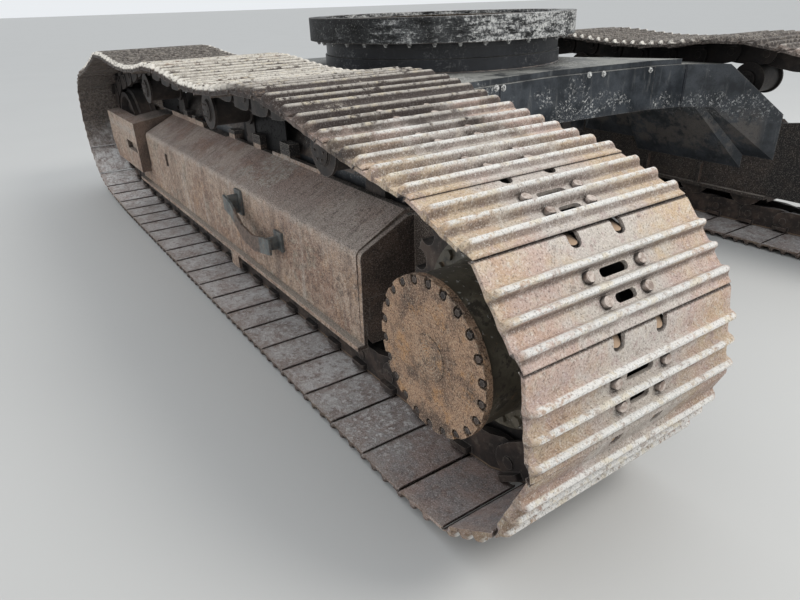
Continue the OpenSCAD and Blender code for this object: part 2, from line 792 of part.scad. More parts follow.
// Centre swivel: a flange on the well's floor, a body through it and a neck on top
swivel_flange = [swivel_r + swivel_gap + 40, floor_t];
swivel_low = 20;
swivel_h = ring_z - belly_z - 120;
swivel_neck = [70, 100];
module centre_swivel() {
  color(black) {
    translate([0, 0, belly_z + floor_t])
      cylinder(h = swivel_flange[1], r = swivel_flange[0], $fn = 96);
    translate([0, 0, belly_z - swivel_low])
      cylinder(h = swivel_h, r = swivel_r, $fn = 96);
    translate([0, 0, belly_z - swivel_low + swivel_h - sunk])
      cylinder(h = swivel_neck[1], r = swivel_neck[0], $fn = 64);
  }
}

car_body();
slew_tub();
slew_inner_race();
slew_outer_race();
centre_swivel();
leg(-1, 1);  // left_rear_leg
leg(1, 1);  // left_front_leg
leg(-1, -1);  // right_rear_leg
leg(1, -1);  // right_front_leg
side(1) track_frame();  // left_track_frame
side(-1) track_frame();  // right_track_frame
side(1) track();  // left_track
side(-1) track();  // right_track
side(1) sprocket();  // left_sprocket
side(-1) sprocket();  // right_sprocket
side(1) final_drive();  // left_final_drive
side(-1) final_drive();  // right_final_drive
side(1) drive_cover();  // left_drive_cover
side(-1) drive_cover();  // right_drive_cover
side(1) travel_motor();  // left_travel_motor
side(-1) travel_motor();  // right_travel_motor
side(1) idler();  // left_idler
side(-1) idler();  // right_idler
side(1) idler_yoke();  // left_idler_yoke
side(-1) idler_yoke();  // right_idler_yoke
side(1) carrier_rollers();  // left_carrier_rollers
side(-1) carrier_rollers();  // right_carrier_rollers
side(1) lower_rollers();  // left_lower_rollers
side(-1) lower_rollers();  // right_lower_rollers
side(1) track_guards();  // left_track_guards
side(-1) track_guards();  // right_track_guards
side(1) step();  // left_step
side(-1) step();  // right_step
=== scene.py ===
import math
import random
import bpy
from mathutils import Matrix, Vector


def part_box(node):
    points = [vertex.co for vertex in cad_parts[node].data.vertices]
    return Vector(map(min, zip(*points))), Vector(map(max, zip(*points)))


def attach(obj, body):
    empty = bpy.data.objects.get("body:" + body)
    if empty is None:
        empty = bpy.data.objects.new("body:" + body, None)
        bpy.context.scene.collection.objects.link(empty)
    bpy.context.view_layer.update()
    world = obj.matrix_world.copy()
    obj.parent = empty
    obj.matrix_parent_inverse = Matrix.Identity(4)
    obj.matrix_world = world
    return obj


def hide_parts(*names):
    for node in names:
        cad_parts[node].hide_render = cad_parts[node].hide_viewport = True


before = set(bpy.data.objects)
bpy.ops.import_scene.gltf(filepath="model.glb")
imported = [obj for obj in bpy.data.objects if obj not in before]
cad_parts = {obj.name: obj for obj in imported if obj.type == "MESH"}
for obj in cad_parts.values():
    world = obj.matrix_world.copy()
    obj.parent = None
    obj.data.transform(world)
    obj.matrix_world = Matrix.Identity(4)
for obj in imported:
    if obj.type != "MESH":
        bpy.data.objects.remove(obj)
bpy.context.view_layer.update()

from fnmatch import fnmatch

import bpy
import numpy as np
from mathutils import Matrix, Vector

RANDOM = random.Random(7)

# Sizes of the chain and its shoes, in metres; places come from the frame
PITCH = 0.216
HALF_PITCH = PITCH / 2
LINKS = 52
TEETH = 23
FIRST_ANGLE, MESH_ANGLE = 93.9, 40
PIN_Z = 0.104
GROUND_HALF = 1.64
# Carrier rollers, and how the chain lies on them and sags between them
CARRIER_STEP = 1.296
CARRIER_R = 0.083
CARRIER_GAP = 0.0015
LEVEL = 0.66 * PITCH
CHAIN_SAG = 0.04
END_SAG = 0.014
IDLER_FLANGE, CARRIER_FLANGE = 0.022, 0.014
# A link: heights over the line of its pins, sides, pin ends
RAIL_H = 0.063
SEAT_H = 0.066
PLATE_H = 0.078
RAIL_IN, RAIL_OUT, SIDE_T = 0.055, 0.092, 0.018
EYE_R, PIN_R, PIN_HALF = 0.058, 0.021, 0.097
BUSHING_R = 0.034
# A shoe: half its length, its ribs, its edges along the chain
SHOE_HALF = 0.375
RIBS, RIB_STEP = (-0.053, 0.014, 0.083), 0.068
LEAD, TRAIL = -0.13, 0.121
LIP = 0.01
# Points on the parts of the chain's line
TURN_STEPS, SAG_STEPS, END_STEPS, MESH_STEPS = 90, 12, 8, 24

SIDES = (("left", 1), ("right", -1))
HERE = Matrix.Identity(4)


def move(x, y, z):
    return Matrix.Translation((x, y, z))


def turn(angle, axis="Z"):
    return Matrix.Rotation(angle, 4, axis)


def show(name, data):
    """Object made of data, put into the scene."""
    made = bpy.data.objects.new(name, data)
    bpy.context.scene.collection.objects.link(made)
    return made


def centre(node):
    """Middle of a node's box."""
    low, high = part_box(node)
    return (low + high) / 2


TRACK_Y = centre("left_track").y
COVER = centre("left_drive_cover")
IDLER = centre("left_idler")
SPROCKET_AT = np.array([COVER.x, COVER.z])
IDLER_AT = np.array([IDLER.x, IDLER.z])
IDLER_R = (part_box("left_idler")[1].z - IDLER.z) - IDLER_FLANGE
CARRIER_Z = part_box("left_carrier_rollers")[1].z - CARRIER_R - CARRIER_FLANGE


# Pins of the chain, by the same rules as the solid's outline

def arc(at, radius, a0, a1, steps):
    """Points on a circle, from one angle to another."""
    angles = np.radians(np.linspace(a0, a1, steps + 1))
    return [at + radius * np.array([math.cos(a), math.sin(a)]) for a in angles]


def touch(at, radius, point, side):
    """Angle where a line from the point touches a circle."""
    d = point - at
    return math.degrees(math.atan2(d[1], d[0]) + side * math.acos(radius / np.linalg.norm(d)))


def hang(a, b, sag, steps):
    """Points on a line that sags between a and b, without b."""
    ts = [i / steps for i in range(steps)]
    return [a + (b - a) * t - np.array([0, 4 * sag * t * (1 - t)]) for t in ts]


def chain_path():
    """Line that the pins follow: sprocket, ground, idler, carrier rollers."""
    pin_r = PITCH / 2 / math.sin(math.radians(360 / TEETH))
    idler_pin_r = math.hypot(IDLER_R + RAIL_H, HALF_PITCH)
    top_z = CARRIER_Z + CARRIER_R + RAIL_H + CARRIER_GAP
    rear, front = np.array([-GROUND_HALF, PIN_Z]), np.array([GROUND_HALF, PIN_Z])
    top = [np.array([x + d, top_z]) for x in (CARRIER_STEP, 0, -CARRIER_STEP)
           for d in (LEVEL, -LEVEL)]
    a_down = touch(SPROCKET_AT, pin_r, rear, -1) + 360
    b_up = touch(IDLER_AT, idler_pin_r, front, 1)
    b_top = touch(IDLER_AT, idler_pin_r, top[0], -1)
    b_top += 360 if b_top < 0 else 0
    a_top = touch(SPROCKET_AT, pin_r, top[5], 1)
    over = arc(IDLER_AT, idler_pin_r, b_up, b_top, TURN_STEPS)
    down = arc(SPROCKET_AT, pin_r, a_top, FIRST_ANGLE + MESH_ANGLE, MESH_STEPS)
    return (arc(SPROCKET_AT, pin_r, FIRST_ANGLE, a_down, TURN_STEPS) + [rear, front] + over
            + hang(over[-1], top[0], END_SAG, END_STEPS)[1:] + [top[0]]
            + hang(top[1], top[2], CHAIN_SAG, SAG_STEPS) + [top[2]]
            + hang(top[3], top[4], CHAIN_SAG, SAG_STEPS) + [top[4]]
            + hang(top[5], down[0], END_SAG, END_STEPS) + down)


def lay_pins():
    """Pins one pitch apart along that line."""
    path, pins, j = chain_path(), [], 0
    pins.append(path[0])
    while len(pins) < LINKS:
        p = pins[-1]
        while np.linalg.norm(path[j + 1] - p) < PITCH:
            j += 1
        d, e = path[j + 1] - path[j], path[j] - p
        k, m = d @ d, e @ d
        t = (-m + math.sqrt(m * m - k * (e @ e - PITCH * PITCH))) / k
        pins.append(path[j] + d * t)
    return pins


PINS = lay_pins()


def link_frames(side):
    """One matrix a link: u along it, v away from the machine, w outward."""
    found = []
    for i, p in enumerate(PINS):
        q = PINS[(i + 1) % LINKS]
        u = (q - p) / np.linalg.norm(q - p)
        m = (p + q) / 2
        found.append(Matrix((
            (u[0], 0, u[1], m[0]),
            (0, side, 0, side * TRACK_Y),
            (u[1], 0, -u[0], m[1]),
            (0, 0, 0, 1))))
    return found


# Meshes as plain lists, so that repeats are cheap

class Shape:
    """Points and faces that grow; marks are extra values kept at each point."""

    def __init__(self):
        self.points, self.faces, self.marks, self.tints = [], [], [], []

    def add(self, points, faces, marks=None, tint=0.5, flip=False):
        base = len(self.points)
        self.points += [tuple(p) for p in points]
        self.marks += [tuple(m) for m in (marks or points)]
        self.tints += [tint] * len(points)
        self.faces += [[base + i for i in (reversed(f) if flip else f)] for f in faces]

    def placed(self, matrix, other, tint=0.5):
        """Adds another shape through a matrix; its marks stay local."""
        flip = matrix.to_3x3().determinant() < 0
        self.add([matrix @ Vector(p) for p in other.points], other.faces, other.marks, tint, flip)

    def piece(self, name, look, slot, body="undercarriage", smooth=35, stands_for=()):
        mesh = bpy.data.meshes.new(name)
        mesh.from_pydata(self.points, [], self.faces)
        mesh.validate()
        marks = mesh.attributes.new("spot", "FLOAT_VECTOR", "POINT")
        marks.data.foreach_set("vector", np.array(self.marks, np.float32).ravel())
        tints = mesh.attributes.new("tint", "FLOAT", "POINT")
        tints.data.foreach_set("value", np.array(self.tints, np.float32))
        mesh.materials.append(look)
        mesh.shade_smooth()
        mesh.set_sharp_from_angle(angle=math.radians(smooth))
        made = show(name, mesh)
        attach(made, body)
        if stands_for:
            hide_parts(*stands_for)
        return made


def ring_points(radius, steps):
    return [(radius * math.cos(2 * math.pi * i / steps),
             radius * math.sin(2 * math.pi * i / steps)) for i in range(steps)]


def turned(profile, steps):
    """Turned shape about w: profile is (radius, height) from bottom to top."""
    shape = Shape()
    points = [(x, y, h) for r, h in profile for x, y in ring_points(r, steps)]
    faces = []
    for row in range(len(profile) - 1):
        for i in range(steps):
            j = (i + 1) % steps
            a, b = row * steps, (row + 1) * steps
            faces.append([a + i, a + j, b + j, b + i])
    faces.append(list(range(steps))[::-1])
    faces.append([len(points) - steps + i for i in range(steps)])
    shape.add(points, faces)
    return shape


def prism(outline, low, high):
    """Outline in u and v, from w low to high."""
    shape, n = Shape(), len(outline)
    points = [(x, y, low) for x, y in outline] + [(x, y, high) for x, y in outline]
    faces = [[i, (i + 1) % n, n + (i + 1) % n, n + i] for i in range(n)]
    shape.add(points, faces + [list(range(n))[::-1], list(range(n, 2 * n))])
    return shape


def rounded(u, v, half_u, half_v, radius):
    """Outline of a rectangle with round corners."""
    steps, points = 5, []
    for k, (su, sv) in enumerate(((1, 1), (-1, 1), (-1, -1), (1, -1))):
        for i in range(steps + 1):
            a = math.pi / 2 * (k + i / steps)
            points.append((u + su * (half_u - radius) + radius * math.cos(a),
                           v + sv * (half_v - radius) + radius * math.sin(a)))
    return points


def cut(shape, cutters):
    """The shape with the cutters' space taken out."""
    def temporary(name, source):
        mesh = bpy.data.meshes.new(name)
        mesh.from_pydata(source.points, [], source.faces)
        return show(name, mesh)

    blank, tool = temporary("blank", shape), temporary("tool", cutters)
    change = blank.modifiers.new("cut", "BOOLEAN")
    change.operation, change.solver, change.object = "DIFFERENCE", "EXACT", tool
    bpy.context.view_layer.update()
    mesh = bpy.data.meshes.new_from_object(
        blank.evaluated_get(bpy.context.evaluated_depsgraph_get()))
    result = Shape()
    result.add([v.co for v in mesh.vertices], [list(p.vertices) for p in mesh.polygons])
    for o in (blank, tool):
        bpy.data.objects.remove(o)
    return result


# The shoe: a plate with three worn ribs, its ends cut back between them.
# Sections are pairs of u and height; a rib's are measured from its middle and the plate's top

RIB_SHAPE = ((-0.019, 0.0), (-0.0145, 0.002), (-0.01, 0.013), (-0.0068, 0.0225), (-0.003, 0.026),
             (0.003, 0.026), (0.0068, 0.0225), (0.01, 0.013), (0.0145, 0.002), (0.019, 0.0))
LAST_FLANK = ((0.003, 0.026), (0.0068, 0.0235), (0.0105, 0.018), (0.0145, 0.0125), (0.02, 0.0095),
              (0.036, 0.0085), (TRAIL - RIBS[2], 0.006))
# How far the ends are cut back between ribs, and how wide a rib keeps its length
END_CUT, RIB_SPREAD = 0.003, 0.015
# The under side: where it rises to lap the next shoe, the gap there, the slope of the lip
LAP_FROM, LAP_WIDTH, LAP_GAP, LIP_TURN = 0.072, 0.014, 0.0015, 0.75
# Columns of points as shares of the half length; the last ones are worn down
COLUMNS = (0, 0.5, 0.9, 0.955, 0.972, 0.988, 1)
WORN, WORN_FROM, WORN_WIDTH, WORN_POWER = 0.42, 0.952, 0.048, 1.8


def shoe_line():
    """Upper line of the section: u and height, from the leading edge."""
    line = [(LEAD - LIP, 0.0655), (LEAD - 0.004, 0.073), (LEAD, 0.0765), (LEAD + 0.004, PLATE_H),
            (-0.098, PLATE_H), (-0.082, PLATE_H)]
    for k, at in enumerate(RIBS):
        last = k == len(RIBS) - 1
        line += [(at + du, PLATE_H + h) for du, h in (RIB_SHAPE[:5] if last else RIB_SHAPE)]
        line += ([(at + du, PLATE_H + h) for du, h in LAST_FLANK] if last
                 else [(at + 0.0335, PLATE_H)])
    return line


def under(u):
    """Height of the under side: a lip turned in at the front, the rear over the next shoe."""
    share = min(1, max(0, (u - LAP_FROM) / LAP_WIDTH))
    return SEAT_H + share * (PLATE_H + LAP_GAP - SEAT_H) - LIP_TURN * max(0, LEAD - u)


def half_across(u):
    """Half the shoe's width at u: full at a rib, cut back between ribs."""
    near = max(math.exp(-((u - at) / RIB_SPREAD) ** 2) for at in RIBS)
    return SHOE_HALF - END_CUT * (1 - near)


def shoe_shape():
    line = shoe_line()
    columns = sorted({s * c for c in COLUMNS for s in (-1, 1)})
    inner = COLUMNS[2]
    shape, rows, n = Shape(), [], len(line)
    for t in columns:
        row = []
        for u, h in line:
            beyond = max(0.0, (abs(t) - inner) / (1 - inner))
            v = min(abs(t), inner) * SHOE_HALF + beyond * (half_across(u) - inner * SHOE_HALF)
            worn = WORN * max(0.0, (abs(t) - WORN_FROM) / WORN_WIDTH) ** WORN_POWER
            row.append((u, math.copysign(v, t), h - worn * (h - PLATE_H)))
        rows.append(row + [(u, p[1], under(u)) for (u, h), p in zip(line, row)])
    points = [p for row in rows for p in row]
    faces, k = [], 2 * n
    for c in range(len(columns) - 1):
        a, b = c * k, (c + 1) * k
        for j in range(n - 1):
            faces.append([a + j, a + j + 1, b + j + 1, b + j])
            faces.append([a + n + j, b + n + j, b + n + j + 1, a + n + j + 1])
        faces.append([a, b, b + n, a + n])
        faces.append([a + n - 1, a + k - 1, b + k - 1, b + n - 1])
    for base, flip in ((0, False), ((len(columns) - 1) * k, True)):
        for j in range(n - 1):
            f = [base + j, base + n + j, base + n + j + 1, base + j + 1]
            faces.append(f[::-1] if flip else f)
    shape.add(points, faces)
    return shape


# Slots and notches: u, v, half sizes and corner's radius; both are cut from low to high
SLOTS = ((-0.0195, 0, 0.012, 0.049, 0.011), (0.0485, 0, 0.012, 0.0365, 0.011))
NOTCHES = ((-0.125, -0.078, 0.032, 0.02, 0.018), (-0.125, 0.078, 0.032, 0.02, 0.018))
CUT_LOW, CUT_HIGH = 0.05, 0.12
# Bolts of one shoe on one side: u and v
BOLTS = ((-0.0195, 0.092), (0.0475, 0.073))


def shoe_cutters():
    cutters = Shape()
    for sizes in SLOTS + NOTCHES:
        cutters.placed(HERE, prism(rounded(*sizes), CUT_LOW, CUT_HIGH))
    return cutters


# A link's side: its round end as cosine and sine, then u, low and high up to the other end
EYE = ((1, 0.05), (0.92, 0.4), (0.7, 0.72), (0.38, 0.93))
SIDE = ((-0.108, -0.058, 0.058), (-0.088, -0.061, 0.061), (-0.072, -RAIL_H, SEAT_H),
        (-0.026, -RAIL_H, SEAT_H), (0.026, -RAIL_H, SEAT_H), (0.072, -RAIL_H, SEAT_H),
        (0.088, -0.061, 0.061), (0.108, -0.058, 0.058))
# The side steps outward between these u, and is thicker in its middle
STEP_FROM, STEP_WIDTH, THICK_HALF = -0.026, 0.052, 0.03
# Tongues at the seat: u, v, half sizes and corner, then low and high
TONGUES = (((0.105, 0.078, 0.046, 0.0165, 0.015), 0.034, 0.06),
           ((0.112, 0.08, 0.044, 0.038, 0.01), 0.03, 0.05))


def link_side(s):
    """Side plate of a link, on the side s."""
    left = [(-HALF_PITCH - EYE_R * c, -EYE_R * k, EYE_R * k) for c, k in EYE]
    right = [(-u, low, high) for u, low, high in reversed(left)]
    points, faces = [], []
    for u, low, high in left + list(SIDE) + right:
        share = min(1, max(0, (u - STEP_FROM) / STEP_WIDTH))
        v0 = RAIL_IN + share * (RAIL_OUT - SIDE_T - RAIL_IN)
        v1 = v0 + SIDE_T + (RAIL_OUT - RAIL_IN - SIDE_T) * (abs(u) < THICK_HALF)
        v1 = min(v1, RAIL_OUT)
        points += [(u, s * v0, low), (u, s * v1, low), (u, s * v1, high), (u, s * v0, high)]
    for k in range(0, len(points) - 4, 4):
        for e in range(4):
            a, b = k + e, k + (e + 1) % 4
            faces.append([a, b, b + 4, a + 4])
    return points, faces + [[3, 2, 1, 0], [len(points) - 4 + e for e in range(4)]]


def link_shape():
    """One link: two side plates that step outward, with pin ends and a bushing."""
    shape = Shape()
    for s in (-1, 1):
        shape.add(*link_side(s), flip=s > 0)
    for s in (-1, 1):
        for (u, v, *sizes), low, high in TONGUES:
            shape.placed(HERE, prism(rounded(u, s * v, *sizes), low, high))
    at_pin = move(-HALF_PITCH, 0, 0) @ turn(math.pi / 2, "X")
    shape.placed(at_pin, turned(((BUSHING_R, -RAIL_IN), (BUSHING_R, RAIL_IN)), 16))
    shape.placed(at_pin, turned(((PIN_R, -PIN_HALF), (PIN_R, PIN_HALF)), 14))
    return shape


# Heads of bolts and nuts: radius, height and sides
SHOE_BOLT = (0.0165, 0.014, 12)
COVER_NUT = (0.0115, 0.008, 6)
CAP_SCREW = (0.0065, 0.006, 6)
BEAM_BOLT = (0.011, 0.008, 6)
GUARD_BOLT = (0.012, 0.009, 6)


def bolt_shape(radius, height, sides):
    """Worn bolt head."""
    return turned(((radius, 0), (radius, height * 0.6), (radius * 0.82, height),
                   (radius * 0.4, height * 1.04)), sides)


# How far a shoe may be turned on its chain, and how deep its bolts sit
ROCK, BOLT_SINK = 0.006, 0.002


def make_tracks(looks):
    shoe = cut(shoe_shape(), shoe_cutters())
    link = link_shape()
    head = bolt_shape(*SHOE_BOLT)
    for name, side in SIDES:
        shoes, chain, bolts = Shape(), Shape(), Shape()
        for matrix in link_frames(side):
            tint = RANDOM.random()
            rock = turn(RANDOM.uniform(-ROCK, ROCK))
            shoes.placed(matrix @ rock, shoe, tint)
            chain.placed(matrix, link, tint)
            for u, v in BOLTS:
                for s in (-1, 1):
                    spin = turn(RANDOM.random())
                    at = move(u, s * v, PLATE_H - BOLT_SINK)
                    bolts.placed(matrix @ rock @ at @ spin, head, tint)
        shoes.piece(name + "_shoes", looks["shoe"], "worn_track_steel", smooth=40,
                    stands_for=[name + "_track"])
        chain.piece(name + "_chain", looks["chain"], "worn_track_steel",
                    stands_for=[name + "_track"])
        bolts.piece(name + "_shoe_bolts", looks["head"], "worn_track_steel")
        make_mud(name, side, looks["mud"])


# Dried mud on the top run, which is above TOP_Z: from x, to x, how many lumps on one link
MUD = ((-1.95, -1.25, 16), (-1.25, -0.6, 9), (-0.6, 2.0, 3))
TOP_Z = 0.8
# Lumps lie in the grooves, up to MUD_HALF from the middle; LUMP is the size of a full one
GROOVES = (-0.088, -0.02, 0.049, 0.104)
MUD_HALF = 0.34
LUMP = (0.013, 0.03, 0.009)
CLOD = ((0.8, -0.25), (1.0, 0.1), (0.8, 0.5), (0.4, 0.8))
CLOD_KINDS = 12


def clod():
    """Flat lump of mud with uneven sides."""
    shape = turned(CLOD, 9)
    shape.points = [tuple(c * RANDOM.uniform(0.72, 1.15) for c in p) for p in shape.points]
    return shape


def make_mud(name, side, look):
    """Dried lumps that lie between the ribs of the top run."""
    mud, clods = Shape(), [clod() for _ in range(CLOD_KINDS)]
    for matrix in link_frames(side):
        at = matrix.translation
        counts = [n for low, high, n in MUD if low < at.x < high and at.z > TOP_Z]
        middle = RANDOM.uniform(-0.25, 0.25)
        for _ in range(sum(counts)):
            v = min(MUD_HALF, max(-MUD_HALF, RANDOM.gauss(middle, 0.11)))
            u = RANDOM.choice(GROOVES) + RANDOM.uniform(-0.008, 0.008)
            size = RANDOM.uniform(0.4, 1.0)
            grow = Matrix.Diagonal((*(length * size for length in LUMP), 1))
            spin = turn(RANDOM.uniform(-0.5, 0.5))
            mud.placed(matrix @ move(u, v, PLATE_H) @ spin @ grow, RANDOM.choice(clods))
    mud.piece(name + "_mud", look, "worn_track_steel", smooth=80)


# Small parts on the solids

def outward(x, y, z):
    """Matrix at a place on an outer side, its w pointing away from the machine."""
    return move(x, y, z) @ turn(math.copysign(math.pi / 2, -y), "X")


def around(radius, count, phase=0.0):
    """Matrices on a circle, each turned with its angle."""
    return [turn(2 * math.pi * (i + phase) / count) @ move(radius, 0, 0) for i in range(count)]


def bead(path, radius, step=0.008):
    """Weld along a line of points: a rippled ridge."""
    shape = Shape()
    for a, b in zip(path, path[1:]):
        a, along = Vector(a), Vector(b) - Vector(a)
        count = max(2, round(along.length / step))
        profile = [(radius * RANDOM.uniform(0.75, 1.1), along.length * k / count)
                   for k in range(count + 1)]
        shape.placed(move(*a) @ along.to_track_quat("Z", "Y").to_matrix().to_4x4(),
                     turned(profile, 6))
    return shape


# Nuts in the cover's pockets: how many, on what radius, how deep
COVER_BOLTS, POCKET_AT, POCKET_FLOOR = 22, 0.223, 0.012
# Carrier roller: v of its outer end, its cap as radius and height, the circle of its screws
ROLLER_END = 0.114
ROLLER_CAP = ((0.054, -0.002), (0.054, 0.006), (0.047, 0.01))
CAP_CIRCLE, CAP_SCREWS, CAP_TOP = 0.036, 6, 0.009
# Stud and nut under the ring as radius and height; how far they stand in from the ring's edge
RING_STUD = ((0.006, -0.021), (0.008, -0.019), (0.008, -0.012))
RING_NUT = ((0.011, -0.012), (0.0125, -0.01), (0.0125, 0.001))
RING_NUTS, RING_INSET = 36, 0.046
# Bolt heads under the deck's edge, y and height, and their washer
BEAM_BOLTS = ((-0.268, 1.001), (-0.374, 0.998), (-0.743, 0.992), (0.377, 0.994), (0.427, 0.999))
WASHER_R, WASHER_HALF = 0.0165, 0.002
# The cross beam's outer face: its distance from the axis at y 0, and how it slopes
BEAM_X, BEAM_RISE, BEAM_HALF = 0.96, 0.075, 0.78
# Welds: x and y of the leg's bend, y of the beam's joint, their foot and drop below the top
LEG_BEND, JOINT_Y, WELD_LOW, WELD_DROP = (1.1, 0.991), 0.4, 0.766, 0.001


def make_cover_nuts(look):
    nut = bolt_shape(*COVER_NUT)
    for name, side in SIDES:
        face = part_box(name + "_drive_cover")[side > 0].y - side * POCKET_FLOOR
        nuts = Shape()
        for place in around(POCKET_AT, COVER_BOLTS, 0.5):
            nuts.placed(outward(COVER.x, face, COVER.z) @ place, nut)
        nuts.piece(name + "_cover_nuts", look, "rusty_paint")


def make_roller_caps(look):
    """Cap and its bolts on the outer end of each carrier roller."""
    cap, screw = turned(ROLLER_CAP, 28), bolt_shape(*CAP_SCREW)
    for name, side in SIDES:
        caps = Shape()
        for x in (CARRIER_STEP, 0, -CARRIER_STEP):
            at = outward(x, side * (TRACK_Y + ROLLER_END), CARRIER_Z)
            caps.placed(at, cap)
            for place in around(CAP_CIRCLE, CAP_SCREWS):
                caps.placed(at @ move(0, 0, CAP_TOP) @ place, screw)
        caps.piece(name + "_roller_caps", look, "worn_track_steel")


def make_ring_nuts(look):
    """Studs and nuts that hang under the turning race."""
    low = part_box("slew_outer_race")[0].z
    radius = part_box("slew_outer_race")[1].x - RING_INSET
    stud = turned(RING_STUD, 10)
    stud.placed(HERE, turned(RING_NUT, 6))
    nuts = Shape()
    for place in around(radius, RING_NUTS):
        nuts.placed(move(0, 0, low) @ place, stud)
    nuts.piece("ring_nuts", look, "greased_steel", body="slew_ring")


def beam_face(y):
    """Distance of the cross beam's outer face from the slewing axis."""
    return BEAM_X + BEAM_RISE * abs(y) / BEAM_HALF


def make_beam_bolts(look):
    head = bolt_shape(*BEAM_BOLT)
    washer = turned(((WASHER_R, -WASHER_HALF), (WASHER_R, WASHER_HALF)), 20)
    bolts = Shape()
    for end in (-1, 1):
        for y, z in BEAM_BOLTS:
            at = move(end * beam_face(y), y, z) @ turn(end * math.pi / 2, "Y")
            bolts.placed(at, washer)
            bolts.placed(at @ move(0, 0, WASHER_HALF), head)
    bolts.piece("beam_bolts", look, "black_paint")


def make_welds(look):
    """Beads where the legs bend, on the beam's joints and round the tub."""
    welds = Shape()
    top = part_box("left_rear_leg")[1].z

    def upright(x, y, radius):
        welds.placed(HERE, bead([(x, y, WELD_LOW), (x, y, top - WELD_DROP)], radius))

    for sx in (-1, 1):
        for sy in (-1, 1):
            upright(sx * LEG_BEND[0], sy * LEG_BEND[1], 0.009)
            seam = -sx * sy * beam_face(JOINT_Y)
            if seam > 0:
                upright(sx * seam, sy * JOINT_Y, 0.005)
    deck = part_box("slew_tub")[0].z
    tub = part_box("slew_tub")[1].x
    circle = [(*p, deck) for p in ring_points(tub, 90)]
    welds.placed(HERE, bead(circle + circle[:1], 0.008, 0.012))
    welds.piece("car_body_welds", look, "black_paint", smooth=60)


# Plates on the inner edge of the frame's top, behind the rollers: x and z of the corners
GUARDS = (((-0.46, 0.7), (0.12, 0.7), (0.12, 0.8), (0.06, 0.89), (-0.4, 0.92), (-0.46, 0.88)),
          ((1.38, 0.7), (1.86, 0.7), (1.86, 0.76), (1.78, 0.82), (1.44, 0.82), (1.38, 0.78)))
GUARD_T = 0.008
# How far in they stand from the frame's inner side, and their bolts: from the corners, and height
GUARD_INSET, GUARD_BOLT_X, GUARD_BOLT_Z = (0.03, 0.012), 0.05, 0.745
# Rear end plate: x, corners in y and z, and its two faces
END_X, END_FACES = -1.57, (0.001, 0.011)
END_PLATE = ((-0.121, 0.235), (-0.1, 0.205), (0.1, 0.205), (0.121, 0.235), (0.121, 0.404),
             (-0.121, 0.404))


def make_guards(look):
    """Hose guards, a guess: they stand for the dark clutter behind the carrier rollers, and their
    near-black paint is partly painted shade.
    """
    bolt = bolt_shape(*GUARD_BOLT)
    for name, side in SIDES:
        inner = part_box(name + "_track_frame")[side < 0].y + side * GUARD_INSET[0]
        y = inner + side * GUARD_INSET[1]
        guards = Shape()
        stand = Matrix(((1, 0, 0, 0), (0, 0, side, y), (0, 1, 0, 0), (0, 0, 0, 1)))
        for corners in GUARDS:
            guards.placed(stand, prism(corners, 0, GUARD_T))
            for x in (corners[0][0] + GUARD_BOLT_X, corners[1][0] - GUARD_BOLT_X):
                guards.placed(stand @ move(x, GUARD_BOLT_Z, GUARD_T), bolt)
        guards.piece(name + "_hose_guards_and_shade", look, "black_paint")


def make_end_plates(look):
    """Plate that closes the frame's rear end below the box, also a guess."""
    for name, side in SIDES:
        plate = Shape()
        stand = Matrix(((0, 0, 1, END_X), (1, 0, 0, side * TRACK_Y), (0, 1, 0, 0), (0, 0, 0, 1)))
        plate.placed(stand, prism(END_PLATE, *END_FACES))
        plate.piece(name + "_end_plate", look, "rusty_paint")


def make_details(looks):
    make_guards(looks["dark"])
    make_end_plates(looks["frame"])
    make_cover_nuts(looks["chain"])
    make_roller_caps(looks["chain"])
    make_ring_nuts(looks["bolt"])
    make_beam_bolts(looks["bolt"])
    make_welds(looks["black"])


# Materials

